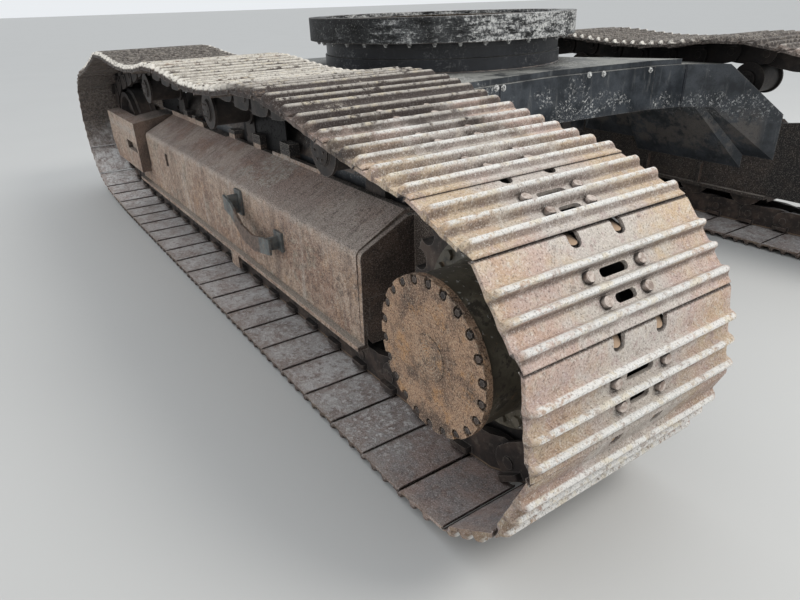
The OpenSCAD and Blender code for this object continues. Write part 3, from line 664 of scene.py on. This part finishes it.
class Look:
    """A material's nodes, with short calls for what the looks share."""

    def __init__(self, name):
        self.material = bpy.data.materials.new(name)
        self.material.use_nodes = True
        self.tree = self.material.node_tree
        self.shader = self.tree.nodes["Principled BSDF"]
        self.where = self.node("TexCoord").outputs["Object"]

    def node(self, kind, **settings):
        made = self.tree.nodes.new("ShaderNode" + kind)
        for key, value in settings.items():
            setattr(made, key, value)
        return made

    def put(self, socket, value):
        if isinstance(value, bpy.types.NodeSocket):
            self.tree.links.new(value, socket)
        elif isinstance(value, tuple) and len(value) == 3 and len(socket.default_value) == 4:
            socket.default_value = (*value, 1)
        else:
            socket.default_value = value

    def pass_in(self, node, **inputs):
        for key, value in inputs.items():
            self.put(node.inputs[key], value)
        return node

    def spot(self):
        """The place on its own shoe or link."""
        return self.node("Attribute", attribute_name="spot").outputs["Vector"]

    def tint(self):
        """Random value of the link that a shoe or link belongs to."""
        return self.node("Attribute", attribute_name="tint").outputs["Fac"]

    def normal(self):
        return self.node("NewGeometry").outputs["Normal"]

    def place(self):
        return self.split(self.where)

    def up(self):
        """How much the surface faces up."""
        return self.split(self.normal())[2]

    def split(self, vector):
        return tuple(self.pass_in(self.node("SeparateXYZ"), Vector=vector).outputs)

    def stretched(self, scale, location=(0, 0, 0)):
        node = self.node("Mapping")
        self.pass_in(node, Vector=self.where, Scale=scale, Location=location)
        return node.outputs["Vector"]

    def noise(self, scale, detail, rough, stretch=None, distortion=0.0):
        node = self.node("TexNoise")
        self.pass_in(node, Vector=self.stretched(stretch) if stretch else self.where,
                     Scale=scale, Detail=detail, Roughness=rough, Distortion=distortion)
        return node.outputs["Fac"]

    def step(self, value, low, high):
        """0 below low, 1 above high, smooth between; low may be the larger."""
        node = self.node("MapRange", interpolation_type="SMOOTHSTEP")
        self.pass_in(node, **{"Value": value, "From Min": low, "From Max": high})
        return node.outputs["Result"]

    def math(self, operation, a, b=0.0):
        """A value given as (value, low, high) goes through step."""
        node = self.node("Math", operation=operation)
        for socket, value in zip(node.inputs, (a, b)):
            self.put(socket, self.step(*value) if isinstance(value, tuple) else value)
        return node.outputs[0]

    def plus(self, a, b):
        return self.math("ADD", a, b)

    def minus(self, a, b):
        return self.math("SUBTRACT", a, b)

    def most(self, a, b):
        return self.math("MAXIMUM", a, b)

    def sway(self, noise, size):
        """A noise brought round zero, for ragged borders."""
        return self.times(self.minus(noise, 0.5), size)

    def times(self, first, *others):
        total = self.step(*first) if isinstance(first, tuple) else first
        for factor in others:
            total = self.math("MULTIPLY", total, factor)
        return total

    def blend(self, a, share_a, b, share_b):
        return self.plus(self.times(a, share_a), self.times(b, share_b))

    def mix(self, under, over, *factors):
        """One colour over another, its share being the product of the factors."""
        node = self.node("Mix", data_type="RGBA")
        self.pass_in(node, Factor=self.times(*factors), A=under, B=over)
        return node.outputs["Result"]

    def layers(self, color, *layers):
        """Lays layers over a colour, the first one lowest: each is a colour and its factors."""
        for over, *factors in layers:
            color = self.mix(color, over, *factors)
        return color

    def hollow(self, distance):
        """1 in the open, lower in corners and gaps."""
        node = self.node("AmbientOcclusion", samples=6)
        return self.pass_in(node, Distance=distance).outputs["AO"]

    def edge(self, radius):
        """1 along sharp edges, 0 on flats."""
        bevel = self.pass_in(self.node("Bevel", samples=4), Radius=radius)
        dot = self.node("VectorMath", operation="DOT_PRODUCT")
        self.put(dot.inputs[0], bevel.outputs["Normal"])
        self.put(dot.inputs[1], self.normal())
        return self.step(dot.outputs["Value"], 0.985, 0.8)

    def finish(self, color, rough, height=None, strength=0.4, distance=0.004, metal=0.0,
               specular=0.5):
        self.pass_in(self.shader, Roughness=rough, Metallic=metal,
                     **{"Base Color": color, "Specular IOR Level": specular})
        if height is not None:
            bump = self.node("Bump")
            self.pass_in(bump, Strength=strength, Distance=distance, Height=height)
            self.pass_in(self.shader, Normal=bump.outputs["Normal"])
        return self.material


# Colours, as seen in even light
PALE = (0.58, 0.55, 0.49)
ASH = (0.5, 0.46, 0.42)
PINK_RUST = (0.44, 0.345, 0.295)
ORANGE_RUST = (0.4, 0.23, 0.12)
BROWN_RUST = (0.15, 0.1, 0.075)
# Dark brown, mostly for painted shade in corners, hollows and gaps
DARK_BROWN = (0.05, 0.033, 0.026)
# Near-black: soot specks, and painted shade in hollows and under the machine
SOOT_AND_SHADE = (0.012, 0.011, 0.011)

# Height of the shoe's inner face, on the seat and where it laps the next shoe
SEAT_FACE, LAP_FACE = (0.0672, 0.0664), (0.0812, 0.08)
# The lip's under side slopes: height less this times u is the same all along it
LIP_SLOPE, LIP_LEVEL = 0.875, (0.1842, 0.1852)
# The top run in metres: where it lies, and the line before the sprocket where its mud ends
TOP_RUN, MUD_END = (0.98, 1.04), (-2.05, -1.7)
# Along the top run the mud turns from wet to dusty between these places
DUSTY = (-1.45, -0.65)
# Height of the bend in the frame's side, and places on the frame that are dark
BEND = 0.585
DECK_TOP, REAR_END = (0.724, 0.732), (-1.56, -1.58)
RING_TURNS = 620


def shoe_look():
    """Shoes: rubbed crests, pale rust on the flats, mud on the top run, grey inside."""
    look = Look("worn_shoe")
    x, y, z = look.place()
    u, v, w = look.split(look.spot())
    patch = look.noise(3.1, 5, 0.6)
    cloud = look.noise(13, 6, 0.65)
    straw = look.noise(22, 5, 0.7)
    fine = look.noise(55, 5, 0.7)
    grain = look.noise(210, 4, 0.7)
    across = look.math("ABSOLUTE", v)
    rib = look.math("FRACT", look.math("DIVIDE", look.minus(u, RIBS[0]), RIB_STEP))
    top = top_run(look, x, z, patch)
    rust = look.layers(
        (0.5, 0.375, 0.32),
        ((0.54, 0.42, 0.29), (patch, 0.44, 0.56)),
        (BROWN_RUST, look.tint(), 0.22),
        (ASH, (look.plus(across, look.sway(cloud, 0.5)), 0.25, 0.1), 0.85),
        ((0.46, 0.285, 0.165), (across, 0.16, 0.34), (cloud, 0.46, 0.62), 0.45),
        ((0.57, 0.49, 0.39), (straw, 0.54, 0.64), 0.4),
        ((0.4, 0.3, 0.28), (straw, 0.46, 0.36), 0.6),
        (BROWN_RUST, (look.noise(36, 5, 0.7), 0.56, 0.68), 0.5),
        (PALE, (fine, 0.54, 0.66), 0.5),
        # Dark band on each rib's rear flank: grime with painted shade below the crest
        ((0.16, 0.12, 0.1), (rib, 0.09, 0.15), (rib, 0.36, 0.24), (cloud, 0.28, 0.5),
         (u, -0.062, -0.056), 0.72),
        (BROWN_RUST, (z, 0.75, 0.15), (cloud, 0.3, 0.55), 0.6),
        (mud_on_top(look, x, w, cloud, fine), top))
    rubbed = look.layers(
        (0.7, 0.69, 0.66),
        (look.mix((0.44, 0.405, 0.36), (0.68, 0.64, 0.57), (x, *DUSTY)), top),
        ((0.62, 0.52, 0.34), (straw, 0.52, 0.62), 0.5),
        ((0.21, 0.175, 0.145), top, (cloud, 0.53, 0.64), 0.6))
    broken = look.blend(fine, 0.6, cloud, 0.4)
    height = look.plus(w, look.times((rib, 0.78, 0.9), 0.0095))
    crest = look.times((height, 0.0955, 0.1025), (broken, 0.4, 0.5))
    # Darker over the idler and on the top run's front part; on the far track's top run it is
    # painted shade
    darkened = look.mix((0.04, 0.031, 0.027), (0.2, 0.175, 0.15), (fine, 0.46, 0.62))
    idler = look.times((x, -0.05, 0.62), (z, 0.62, 0.86), 0.88)
    beyond = look.times((y, -1.0, -1.1), top, 0.9)
    behind = look.times((u, 0.07, 0.074), (w, *LAP_FACE))
    inner = look.most((w, *SEAT_FACE), behind)
    lip = look.minus(w, look.times(u, LIP_SLOPE))
    color = look.layers(
        rust,
        (rubbed, crest, (across, 0.372, 0.352), 0.9),
        # Painted shade on the far track's top run, darker over the idler
        (darkened, look.most(idler, beyond)),
        (inner_face(look, x, z, across, cloud, fine), inner),
        # Painted shade in corners, grooves and gaps
        (DARK_BROWN, (look.hollow(0.03), 0.82, 0.28), 0.9),
        # Darker towards the floor
        (DARK_BROWN, (z, 0.055, 0.02), 0.85),
        # Painted shade in the gap between shoes, on the lip's under side
        (DARK_BROWN, (lip, *LIP_LEVEL), (u, LEAD + 0.002, LEAD - 0.003), 0.92),
        (SOOT_AND_SHADE, (grain, 0.53, 0.66), 0.6),
        ((0.86, 0.84, 0.8), (grain, 0.46, 0.33), look.minus(1.0, look.times(top, 0.7)), 0.45),
        ((0.8, 0.76, 0.69), (across, 0.345, 0.36), (w, 0.08, 0.088), (fine, 0.36, 0.5),
         top, (x, -1.3, -0.7), 0.85))
    bump = look.blend(fine, 0.7, grain, 0.3)
    damp = look.times(inner, (cloud, 0.42, 0.58), 0.35)
    rough = look.minus(0.82, look.plus(look.times(crest, 0.2), damp))
    return look.finish(color, rough, bump, 0.8, 0.007)


def top_run(look, x, z, patch):
    """Share of mud: the run over the carrier rollers, up to a ragged line before the sprocket."""
    border = look.plus(x, look.sway(patch, 1.5))
    return look.times((z, *TOP_RUN), (border, *MUD_END))


def mud_on_top(look, x, height, cloud, fine):
    """Mud of the top run: dark and wet to the rear, dusty with dark grooves farther forward."""
    lump = look.noise(8, 6, 0.68)
    dry = look.layers(
        (0.2, 0.168, 0.14),
        ((0.43, 0.385, 0.32), (lump, 0.42, 0.62)),
        ((0.11, 0.08, 0.065), (cloud, 0.5, 0.62), 0.7),
        ((0.46, 0.255, 0.13), (look.noise(5, 5, 0.6), 0.53, 0.61), 0.6),
        ((0.05, 0.038, 0.032), (height, 0.094, 0.081), 0.75))
    return look.layers(
        (0.042, 0.029, 0.024),
        ((0.42, 0.39, 0.35), (fine, 0.57, 0.67), (lump, 0.46, 0.58)),
        (dry, look.most((x, -1.0, -0.2), (lump, 0.58, 0.66))),
        ((0.04, 0.028, 0.024), (look.up(), 0.9, 0.5), 0.85),
        ((0.62, 0.575, 0.5), (x, *DUSTY), (height, 0.084, 0.094), (cloud, 0.38, 0.56), 0.6))


def inner_face(look, x, z, across, cloud, fine):
    """Side of the shoes that faces the rollers, seen on the ground run and round the idler."""
    near = look.step(x, -1.5, -2.25)
    face = look.layers(
        (0.9, 0.875, 0.86),
        ((0.27, 0.242, 0.238), near),
        ((0.44, 0.31, 0.27), (cloud, 0.4, 0.62), 0.65),
        (BROWN_RUST, look.tint(), 0.3),
        ((0.36, 0.32, 0.31), (look.noise(5, 5, 0.65), 0.5, 0.66), 0.5),
        ((0.23, 0.155, 0.13), (look.noise(31, 6, 0.75), 0.51, 0.6), 0.6),
        # White specks: pale grit with painted glints of the wet face
        ((1.0, 0.99, 0.98), (fine, 0.52, 0.6), (near, 1.0, 0.4), 0.75),
        (PINK_RUST, (across, 0.335, 0.37), 0.4))
    shaded = look.mix((0.055, 0.042, 0.035), (0.16, 0.125, 0.1), (fine, 0.42, 0.6))
    height = look.plus(z, look.times(cloud, 0.5))
    return look.mix(face, shaded, (height, 0.42, 0.8), 0.95)


def chain_look():
    """Chain, rollers and wheels: greasy rust, rubbed on edges, tan on a link's tongue."""
    look = Look("chain_steel")
    level = look.split(look.spot())[2]
    color = look.layers(
        (0.085, 0.058, 0.045),
        ((0.028, 0.02, 0.017), (look.noise(11, 5, 0.6), 0.38, 0.6)),
        ((0.2, 0.165, 0.135), (look.noise(37, 5, 0.65), 0.52, 0.68), 0.45),
        (SOOT_AND_SHADE, (look.place()[2], 0.7, 0.78), 0.6),
        ((0.42, 0.37, 0.33), look.edge(0.004), 0.55),
        ((0.42, 0.29, 0.19), (level, 0.056, 0.0598), (level, 0.066, 0.061), 0.9),
        # Painted shade in gaps, and painted deep shade under the machine with some grime
        (SOOT_AND_SHADE, (look.hollow(0.06), 0.8, 0.25), 0.75),
        (SOOT_AND_SHADE, (look.hollow(0.6), 0.5, 0.15), 0.8))
    return look.finish(color, 0.62, look.noise(60, 5, 0.65), 0.6, 0.003)


def head_look():
    """Heads of bolts and nuts: rust like the plate round them, with painted shade at the foot."""
    look = Look("bolt_heads")
    fine = look.noise(90, 5, 0.7)
    color = look.layers(
        (0.3, 0.235, 0.2),
        ((0.52, 0.45, 0.4), (fine, 0.38, 0.6)),
        (BROWN_RUST, (look.noise(31, 4, 0.6), 0.5, 0.62), 0.7),
        # Painted shade round the foot of each head
        (SOOT_AND_SHADE, (look.hollow(0.026), 0.88, 0.4), 0.92))
    return look.finish(color, 0.7, fine, 0.5, 0.002)


def chipped_look():
    """Small bolts whose paint has gone pale."""
    look = Look("chipped_bolts")
    fine = look.noise(120, 4, 0.65)
    color = look.layers(
        (0.6, 0.6, 0.58),
        ((0.06, 0.06, 0.065), (fine, 0.5, 0.58)),
        # Painted shade round the foot of each bolt
        (SOOT_AND_SHADE, (look.hollow(0.008), 0.75, 0.3), 0.9))
    return look.finish(color, 0.55, fine, 0.4, 0.001)


def mud_look():
    """Dried lumps on the top run."""
    look = Look("dried_mud")
    color = look.layers(
        (0.2, 0.165, 0.135),
        ((0.5, 0.47, 0.42), (look.noise(60, 6, 0.7), 0.36, 0.6)),
        # Painted shade between the lumps and at their foot
        (DARK_BROWN, (look.hollow(0.012), 0.7, 0.2), 0.6))
    return look.finish(color, 0.95, look.noise(170, 4, 0.7), 0.8, 0.004)


def drum_look():
    """Oily black casting with dry specks."""
    look = Look("oily_drum")
    color = look.layers(
        (0.105, 0.092, 0.068),
        ((0.3, 0.265, 0.2), (look.noise(9, 6, 0.68), 0.42, 0.66)),
        (ORANGE_RUST, (look.noise(31, 5, 0.7), 0.58, 0.72), 0.35),
        (SOOT_AND_SHADE, (look.noise(18, 6, 0.72), 0.48, 0.62), 0.8),
        ((0.55, 0.53, 0.5), (look.noise(66, 3, 0.6), 0.62, 0.66),
         (look.noise(5, 3, 0.5), 0.46, 0.58), 0.85))
    return look.finish(color, 0.45, look.noise(48, 5, 0.6), 0.4, 0.004)


def frame_look():
    """Rusty plate: mottled sides, fine streaks down the slope, dust on ledges, painted shade
    inside and in hollows, painted highlights on the bend and edges.
    """
    look = Look("rusty_frame")
    x, y, z = look.place()
    to_x, to_y, up = look.split(look.normal())
    patch = look.noise(2.3, 6, 0.66)
    blot = look.noise(6.5, 6, 0.7)
    spot = look.noise(15, 6, 0.72)
    mottle = look.noise(34, 5, 0.75)
    run = look.noise(1, 6, 0.7, (8, 3.5, 1.1), 0.3)
    thin = look.noise(1, 7, 0.74, (30, 6, 6), 1.0)
    fine = look.noise(44, 6, 0.7)
    grain = look.noise(190, 4, 0.7)
    bend = look.math("ABSOLUTE", look.minus(z, BEND))
    side = look.layers(
        (0.345, 0.212, 0.148),
        ((0.465, 0.33, 0.242), (patch, 0.42, 0.58)),
        ((0.5, 0.305, 0.175), (blot, 0.52, 0.62), 0.55),
        ((0.3, 0.28, 0.22), (blot, 0.46, 0.36), 0.6),
        ((0.155, 0.104, 0.08), (spot, 0.5, 0.64), 0.6),
        ((0.15, 0.1, 0.078), (mottle, 0.51, 0.6), 0.7),
        ((0.58, 0.49, 0.4), (mottle, 0.48, 0.38), 0.5),
        ((0.52, 0.43, 0.37), (z, 0.46, 0.56), (blot, 0.4, 0.56), 0.35),
        ((0.58, 0.51, 0.44), (run, 0.56, 0.68), 0.5),
        ((0.16, 0.1, 0.074), (run, 0.47, 0.36), 0.5),
        # Painted highlight along the bend of the side plate
        ((0.47, 0.415, 0.36), (bend, 0.04, 0.004), (spot, 0.36, 0.56), 0.55))
    slope = look.layers(
        (0.29, 0.2, 0.17),
        ((0.48, 0.385, 0.335), (patch, 0.4, 0.6)),
        ((0.33, 0.19, 0.135), (blot, 0.48, 0.6), 0.6),
        ((0.44, 0.39, 0.35), (x, -0.3, -1.3), 0.5),
        ((0.095, 0.064, 0.056), (thin, 0.48, 0.36), 0.6),
        ((0.52, 0.455, 0.4), (thin, 0.54, 0.68), 0.55),
        ((0.14, 0.1, 0.088), (mottle, 0.53, 0.63), 0.4),
        ((0.36, 0.31, 0.27), (z, 0.64, 0.59), 0.5))
    rear = look.step(to_x, -0.75, -0.95)
    inward = look.step(look.times(to_y, look.math("SIGN", y)), -0.5, -0.9)
    lit = look.minus(0.48, look.times(look.most(inward, rear), 0.3))
    rear_rust = look.mix((0.1, 0.068, 0.053), (0.215, 0.14, 0.104), (blot, 0.42, 0.62))
    flat_rust = look.mix((0.06, 0.055, 0.052), (0.2, 0.185, 0.165), (blot, 0.42, 0.6))
    # Near-black painted shade for the inner walls
    inner_wall_shade = look.mix((0.008, 0.007, 0.007), (0.022, 0.016, 0.013), (blot, 0.44, 0.6))
    color = look.layers(
        side,
        (slope, (up, 0.35, 0.75)),
        ((0.46, 0.42, 0.37), splash(look, x, z, fine), 0.85),
        (rear_rust, rear, 0.92),
        ((0.36, 0.32, 0.275), (up, 0.75, 0.97), (z, 0.33, 0.27), (fine, 0.3, 0.52)),
        (flat_rust, (up, 0.975, 0.995), (z, 0.66, 0.68), 0.85),
        ((0.01, 0.011, 0.013), (z, *DECK_TOP), 0.95),
        ((0.035, 0.025, 0.02), (x, *REAR_END), 0.9),
        # Pale edges: painted highlights, with dust
        ((0.46, 0.405, 0.35), look.edge(0.009), (fine, 0.36, 0.54), 0.7),
        # Painted deep shade on the walls that face the machine's middle
        (inner_wall_shade, inward, 0.95),
        # Painted shade in corners, and painted deep shade under the machine with some grime
        (DARK_BROWN, (look.hollow(0.08), 0.66, 0.15), 0.75),
        (SOOT_AND_SHADE, (look.hollow(0.6), 0.42, 0.12), 0.8),
        (SOOT_AND_SHADE, (grain, 0.52, 0.63), 0.75),
        ((0.86, 0.76, 0.67), (grain, 0.47, 0.35), lit))
    height = look.blend(fine, 0.6, grain, 0.4)
    return look.finish(color, 0.7, height, 0.6, 0.005)


def splash(look, x, z, fine):
    """Dried mud on the slope, beside the ridge that crosses it."""
    middle = look.math("ABSOLUTE", look.plus(x, 0.45))
    ragged = look.plus(middle, look.times(look.noise(6, 6, 0.7), 1.4))
    return look.times((ragged, 0.98, 0.84), (z, 0.6, 0.625), (fine, 0.46, 0.54))


def cover_look():
    """Cover of the final drive: mottled rust over turned rings."""
    look = Look("rusty_cover")
    length = look.node("VectorMath", operation="LENGTH")
    look.put(length.inputs[0], look.stretched((1, 0, 1), (-COVER.x, 0, -COVER.z)))
    hub = length.outputs["Value"]
    fine = look.noise(70, 6, 0.72)
    grain = look.noise(210, 4, 0.7)
    turns = look.math("SINE", look.times(hub, RING_TURNS))
    color = look.layers(
        (0.4, 0.25, 0.158),
        ((0.175, 0.108, 0.074), (look.noise(9, 6, 0.68), 0.42, 0.6)),
        ((0.105, 0.07, 0.052), (look.noise(4.5, 5, 0.65), 0.5, 0.6), 0.55),
        ((0.46, 0.245, 0.105), (look.noise(17, 5, 0.7), 0.52, 0.64), 0.7),
        ((0.44, 0.345, 0.255), (fine, 0.54, 0.66), 0.6),
        (DARK_BROWN, (look.noise(41, 5, 0.72), 0.54, 0.66), 0.7),
        ((0.36, 0.32, 0.25), (turns, 0.1, 0.9), (hub, 0.085, 0.03), 0.4),
        ((0.4, 0.34, 0.27), look.edge(0.005), (fine, 0.42, 0.54), 0.6),
        # Painted shade in the pockets and corners
        (SOOT_AND_SHADE, (look.hollow(0.016), 0.75, 0.3), 0.85),
        (SOOT_AND_SHADE, (grain, 0.52, 0.62), 0.75),
        ((0.76, 0.58, 0.41), (grain, 0.47, 0.35), 0.5))
    height = look.blend(fine, 0.7, turns, 0.06)
    return look.finish(color, 0.76, height, 0.8, 0.004)


def black_look(name, dark, light, runs, dusty=0.8, worn=0.35, specks=0.75, gloss=0.5):
    """Dark paint under dust, with runs, pale specks low on the legs and rubbed edges."""
    look = Look(name)
    up = look.up()
    _, y, z = look.place()
    fine = look.noise(42, 6, 0.72)
    grain = look.noise(150, 4, 0.7)
    haze = look.noise(5.5, 6, 0.65)
    blot = look.noise(10, 6, 0.7)
    run = look.noise(1, 6, 0.68, (30, 30, 5), 0.3)
    dust = look.times((up, 0.75, 0.97), (haze, 0.32, 0.54))
    rust = look.mix((0.09, 0.062, 0.048), (0.24, 0.185, 0.145), (blot, 0.42, 0.6))
    inside = look.step(look.math("ABSOLUTE", y), 1.27, 1.24)
    field = look.plus(look.noise(2.6, 5, 0.65), look.times((z, 0.98, 0.78), 0.09))
    speck = look.times((look.noise(62, 5, 0.84), 0.55, 0.59), (field, 0.5, 0.57), (z, 0.66, 0.8))
    color = look.layers(
        dark,
        (light, (haze, 0.38, 0.64)),
        ((0.15, 0.155, 0.155), (run, 0.54, 0.68), runs),
        ((0.27, 0.268, 0.245), dust, dusty),
        (rust, (up, 0.3, 0.5), (up, 0.9, 0.8), (fine, 0.36, 0.52), 0.85),
        ((0.135, 0.118, 0.105), (z, 0.8, 0.66), (blot, 0.42, 0.56), inside, 0.7),
        ((0.68, 0.68, 0.66), speck, specks),
        ((0.34, 0.31, 0.28), look.edge(0.006), (fine, 0.42, 0.54), worn),
        # Painted deep shade under the machine, with some grime
        (SOOT_AND_SHADE, (look.hollow(0.6), 0.6, 0.2), 0.85),
        (SOOT_AND_SHADE, (grain, 0.52, 0.66), 0.6))
    rough = look.plus(look.times(look.most(dust, speck), 0.35), 0.42)
    return look.finish(color, rough, fine, 0.3, 0.003, specular=gloss)


def race_look():
    """Turning race: black paint, rubbed to white on one side."""
    look = Look("worn_race")
    fine = look.noise(60, 6, 0.75)
    smear = look.noise(1, 6, 0.76, (10, 10, 46))
    along = look.plus(look.place()[1], look.sway(look.noise(3, 5, 0.6), 1.2))
    share = look.times((along, 0.95, 0.1), (along, -0.95, -0.55))
    level = look.plus(look.blend(smear, 0.6, fine, 0.4), look.times(share, 0.1))
    bare = look.mix((0.3, 0.305, 0.305), (0.68, 0.68, 0.66), (fine, 0.38, 0.58))
    color = look.layers(
        (0.006, 0.006, 0.006),
        ((0.018, 0.019, 0.02), (look.noise(7, 5, 0.6), 0.4, 0.62)),
        ((0.17, 0.175, 0.18), share, (smear, 0.36, 0.6), 0.75),
        (bare, (level, 0.555, 0.655), (share, 0.1, 0.6), 0.85),
        ((0.36, 0.36, 0.34), (look.noise(120, 4, 0.75), 0.57, 0.63), (fine, 0.52, 0.6), 0.6),
        ((0.012, 0.012, 0.013), (look.noise(88, 5, 0.8), 0.53, 0.6), 0.85),
        ((0.22, 0.16, 0.12), look.edge(0.005), 0.4))
    return look.finish(color, 0.6, fine, 0.35, 0.002, specular=0.2)


def grease_look():
    """Inner race under its grease."""
    look = Look("greased_steel")
    color = look.mix((0.05, 0.035, 0.02), (0.13, 0.1, 0.07), (look.noise(20, 5, 0.6), 0.4, 0.7))
    return look.finish(color, 0.35, look.noise(40, 4, 0.5), 0.3, 0.002, metal=0.5)


def step_look():
    """Step: grey paint left on the pads, rust on the bar between them."""
    look = Look("step_paint")
    fine = look.noise(60, 6, 0.7)
    bar = look.place()[0]
    between = look.times((bar, -0.79, -0.76), (bar, -0.45, -0.48), 0.9)
    rust = look.mix((0.075, 0.052, 0.042), (0.2, 0.135, 0.1), (fine, 0.4, 0.6))
    color = look.layers(
        (0.08, 0.09, 0.09),
        ((0.17, 0.178, 0.172), (look.noise(16, 6, 0.7), 0.4, 0.6)),
        (rust, look.most(between, look.times((fine, 0.54, 0.64), 0.7))),
        ((0.34, 0.31, 0.28), look.edge(0.0025), (fine, 0.42, 0.54), 0.45),
        # Painted shade in corners
        (SOOT_AND_SHADE, (look.hollow(0.03), 0.7, 0.2), 0.7))
    return look.finish(color, 0.6, fine, 0.4, 0.003)


def make_looks():
    return {
        "shoe": shoe_look(), "chain": chain_look(), "head": head_look(), "bolt": chipped_look(),
        "mud": mud_look(), "drum": drum_look(), "frame": frame_look(), "cover": cover_look(),
        "body": black_look("body_paint", (0.013, 0.017, 0.022), (0.052, 0.06, 0.07), 0.4),
        "black": black_look("black_paint", (0.007, 0.009, 0.014), (0.022, 0.026, 0.034), 0.06,
                            dusty=0.5, worn=0.3, specks=0.25),
        # Near-black and almost without gloss: dark clutter and painted shade behind the carrier
        # rollers
        "dark": black_look("dark_plate", (0.004, 0.004, 0.005), (0.01, 0.01, 0.011), 0,
                           dusty=0.1, worn=0.1, specks=0, gloss=0.08),
        "race": race_look(), "grease": grease_look(), "step": step_look()}


# Edges of the solids that are steeper than this stay sharp, in degrees
SHARP = 32


def dress(looks):
    """Gives every CAD node that shows its look."""
    plan = {
        "body": ["car_body", "*_leg"],
        "black": ["slew_tub", "centre_swivel", "*_travel_motor", "*_idler_yoke"],
        "step": ["*_step"],
        "race": ["slew_outer_race"],
        "frame": ["*_track_frame", "*_track_guards"],
        "cover": ["*_drive_cover"],
        "drum": ["*_final_drive"],
        "chain": ["*_sprocket", "*_idler", "*_carrier_rollers", "*_lower_rollers"],
        "grease": ["slew_inner_race"],
    }
    for node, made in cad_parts.items():
        for look, names in plan.items():
            if any(fnmatch(node, name) for name in names):
                made.data.materials.clear()
                made.data.materials.append(looks[look])
                made.data.shade_smooth()
                made.data.set_sharp_from_angle(angle=math.radians(SHARP))


# The stage: floor, lights and the camera of the photograph

IMAGE_W, FOCAL_PX, SENSOR = 800, 615.9, 36
CAMERA_AT = (-3.37, 2.597, 1.402)
CAMERA_YAW, CAMERA_PITCH, CAMERA_ROLL = -33.36, -25.95, -1.94
FLOOR_REACH = 300
# The sky's light grows with the height of the direction
SKY_RAMP = {"From Min": 0.0, "From Max": 0.9, "To Min": 0.88, "To Max": 1.05}
SKY_COLOR = (0.94, 0.97, 1.0, 1)


def make_camera():
    yaw, pitch, roll = (math.radians(a) for a in (CAMERA_YAW, CAMERA_PITCH, CAMERA_ROLL))
    ahead = Vector((math.cos(pitch) * math.cos(yaw), math.cos(pitch) * math.sin(yaw),
                    math.sin(pitch)))
    level = ahead.cross(Vector((0, 0, 1))).normalized()
    above = level.cross(ahead)
    right = math.cos(roll) * level + math.sin(roll) * above
    top = -math.sin(roll) * level + math.cos(roll) * above
    facing = Matrix((right, top, -ahead)).transposed().to_4x4()
    data = bpy.data.cameras.new("camera")
    data.sensor_width = SENSOR
    data.lens = SENSOR * FOCAL_PX / IMAGE_W
    data.clip_start, data.clip_end = 0.05, 200
    camera = show("camera", data)
    camera.matrix_world = move(*CAMERA_AT) @ facing
    bpy.context.scene.camera = camera


def make_light(name, at, target, size, power, color):
    """Round lamp that looks at its target."""
    data = bpy.data.lights.new(name, "AREA")
    data.shape, data.size, data.energy, data.color = "DISK", size, power, color
    made = show(name, data)
    made.location = at
    made.rotation_mode = "QUATERNION"
    made.rotation_quaternion = (Vector(target) - Vector(at)).to_track_quat("-Z", "Y")


def make_stage():
    look = Look("pale_floor")
    color = look.mix((0.5, 0.5, 0.49), (0.53, 0.53, 0.52), look.noise(0.8, 3, 0.5))
    floor = bpy.data.meshes.new("floor")
    corners = ((-1, -1), (1, -1), (1, 1), (-1, 1))
    floor.from_pydata([(x * FLOOR_REACH, y * FLOOR_REACH, 0) for x, y in corners], [],
                      [[0, 1, 2, 3]])
    floor.materials.append(look.finish(color, 0.85))
    show("floor", floor)
    make_sky()
    make_light("key", (-7, -3, 8), (-1, 0.8, 0.5), 4, 500, (1, 0.97, 0.92))
    bpy.context.scene.view_settings.view_transform = "Standard"


def make_sky():
    """Studio light from a bright ceiling that dims toward the walls."""
    world = bpy.data.worlds.new("studio")
    world.use_nodes = True
    nodes, links = world.node_tree.nodes, world.node_tree.links
    height = nodes.new("ShaderNodeSeparateXYZ")
    links.new(nodes.new("ShaderNodeTexCoord").outputs["Generated"], height.inputs[0])
    ramp = nodes.new("ShaderNodeMapRange")
    for key, value in SKY_RAMP.items():
        ramp.inputs[key].default_value = value
    links.new(height.outputs["Z"], ramp.inputs["Value"])
    back = nodes["Background"]
    back.inputs["Color"].default_value = SKY_COLOR
    links.new(ramp.outputs["Result"], back.inputs["Strength"])
    bpy.context.scene.world = world


looks = make_looks()
make_camera()
make_stage()
make_tracks(looks)
make_details(looks)
dress(looks)
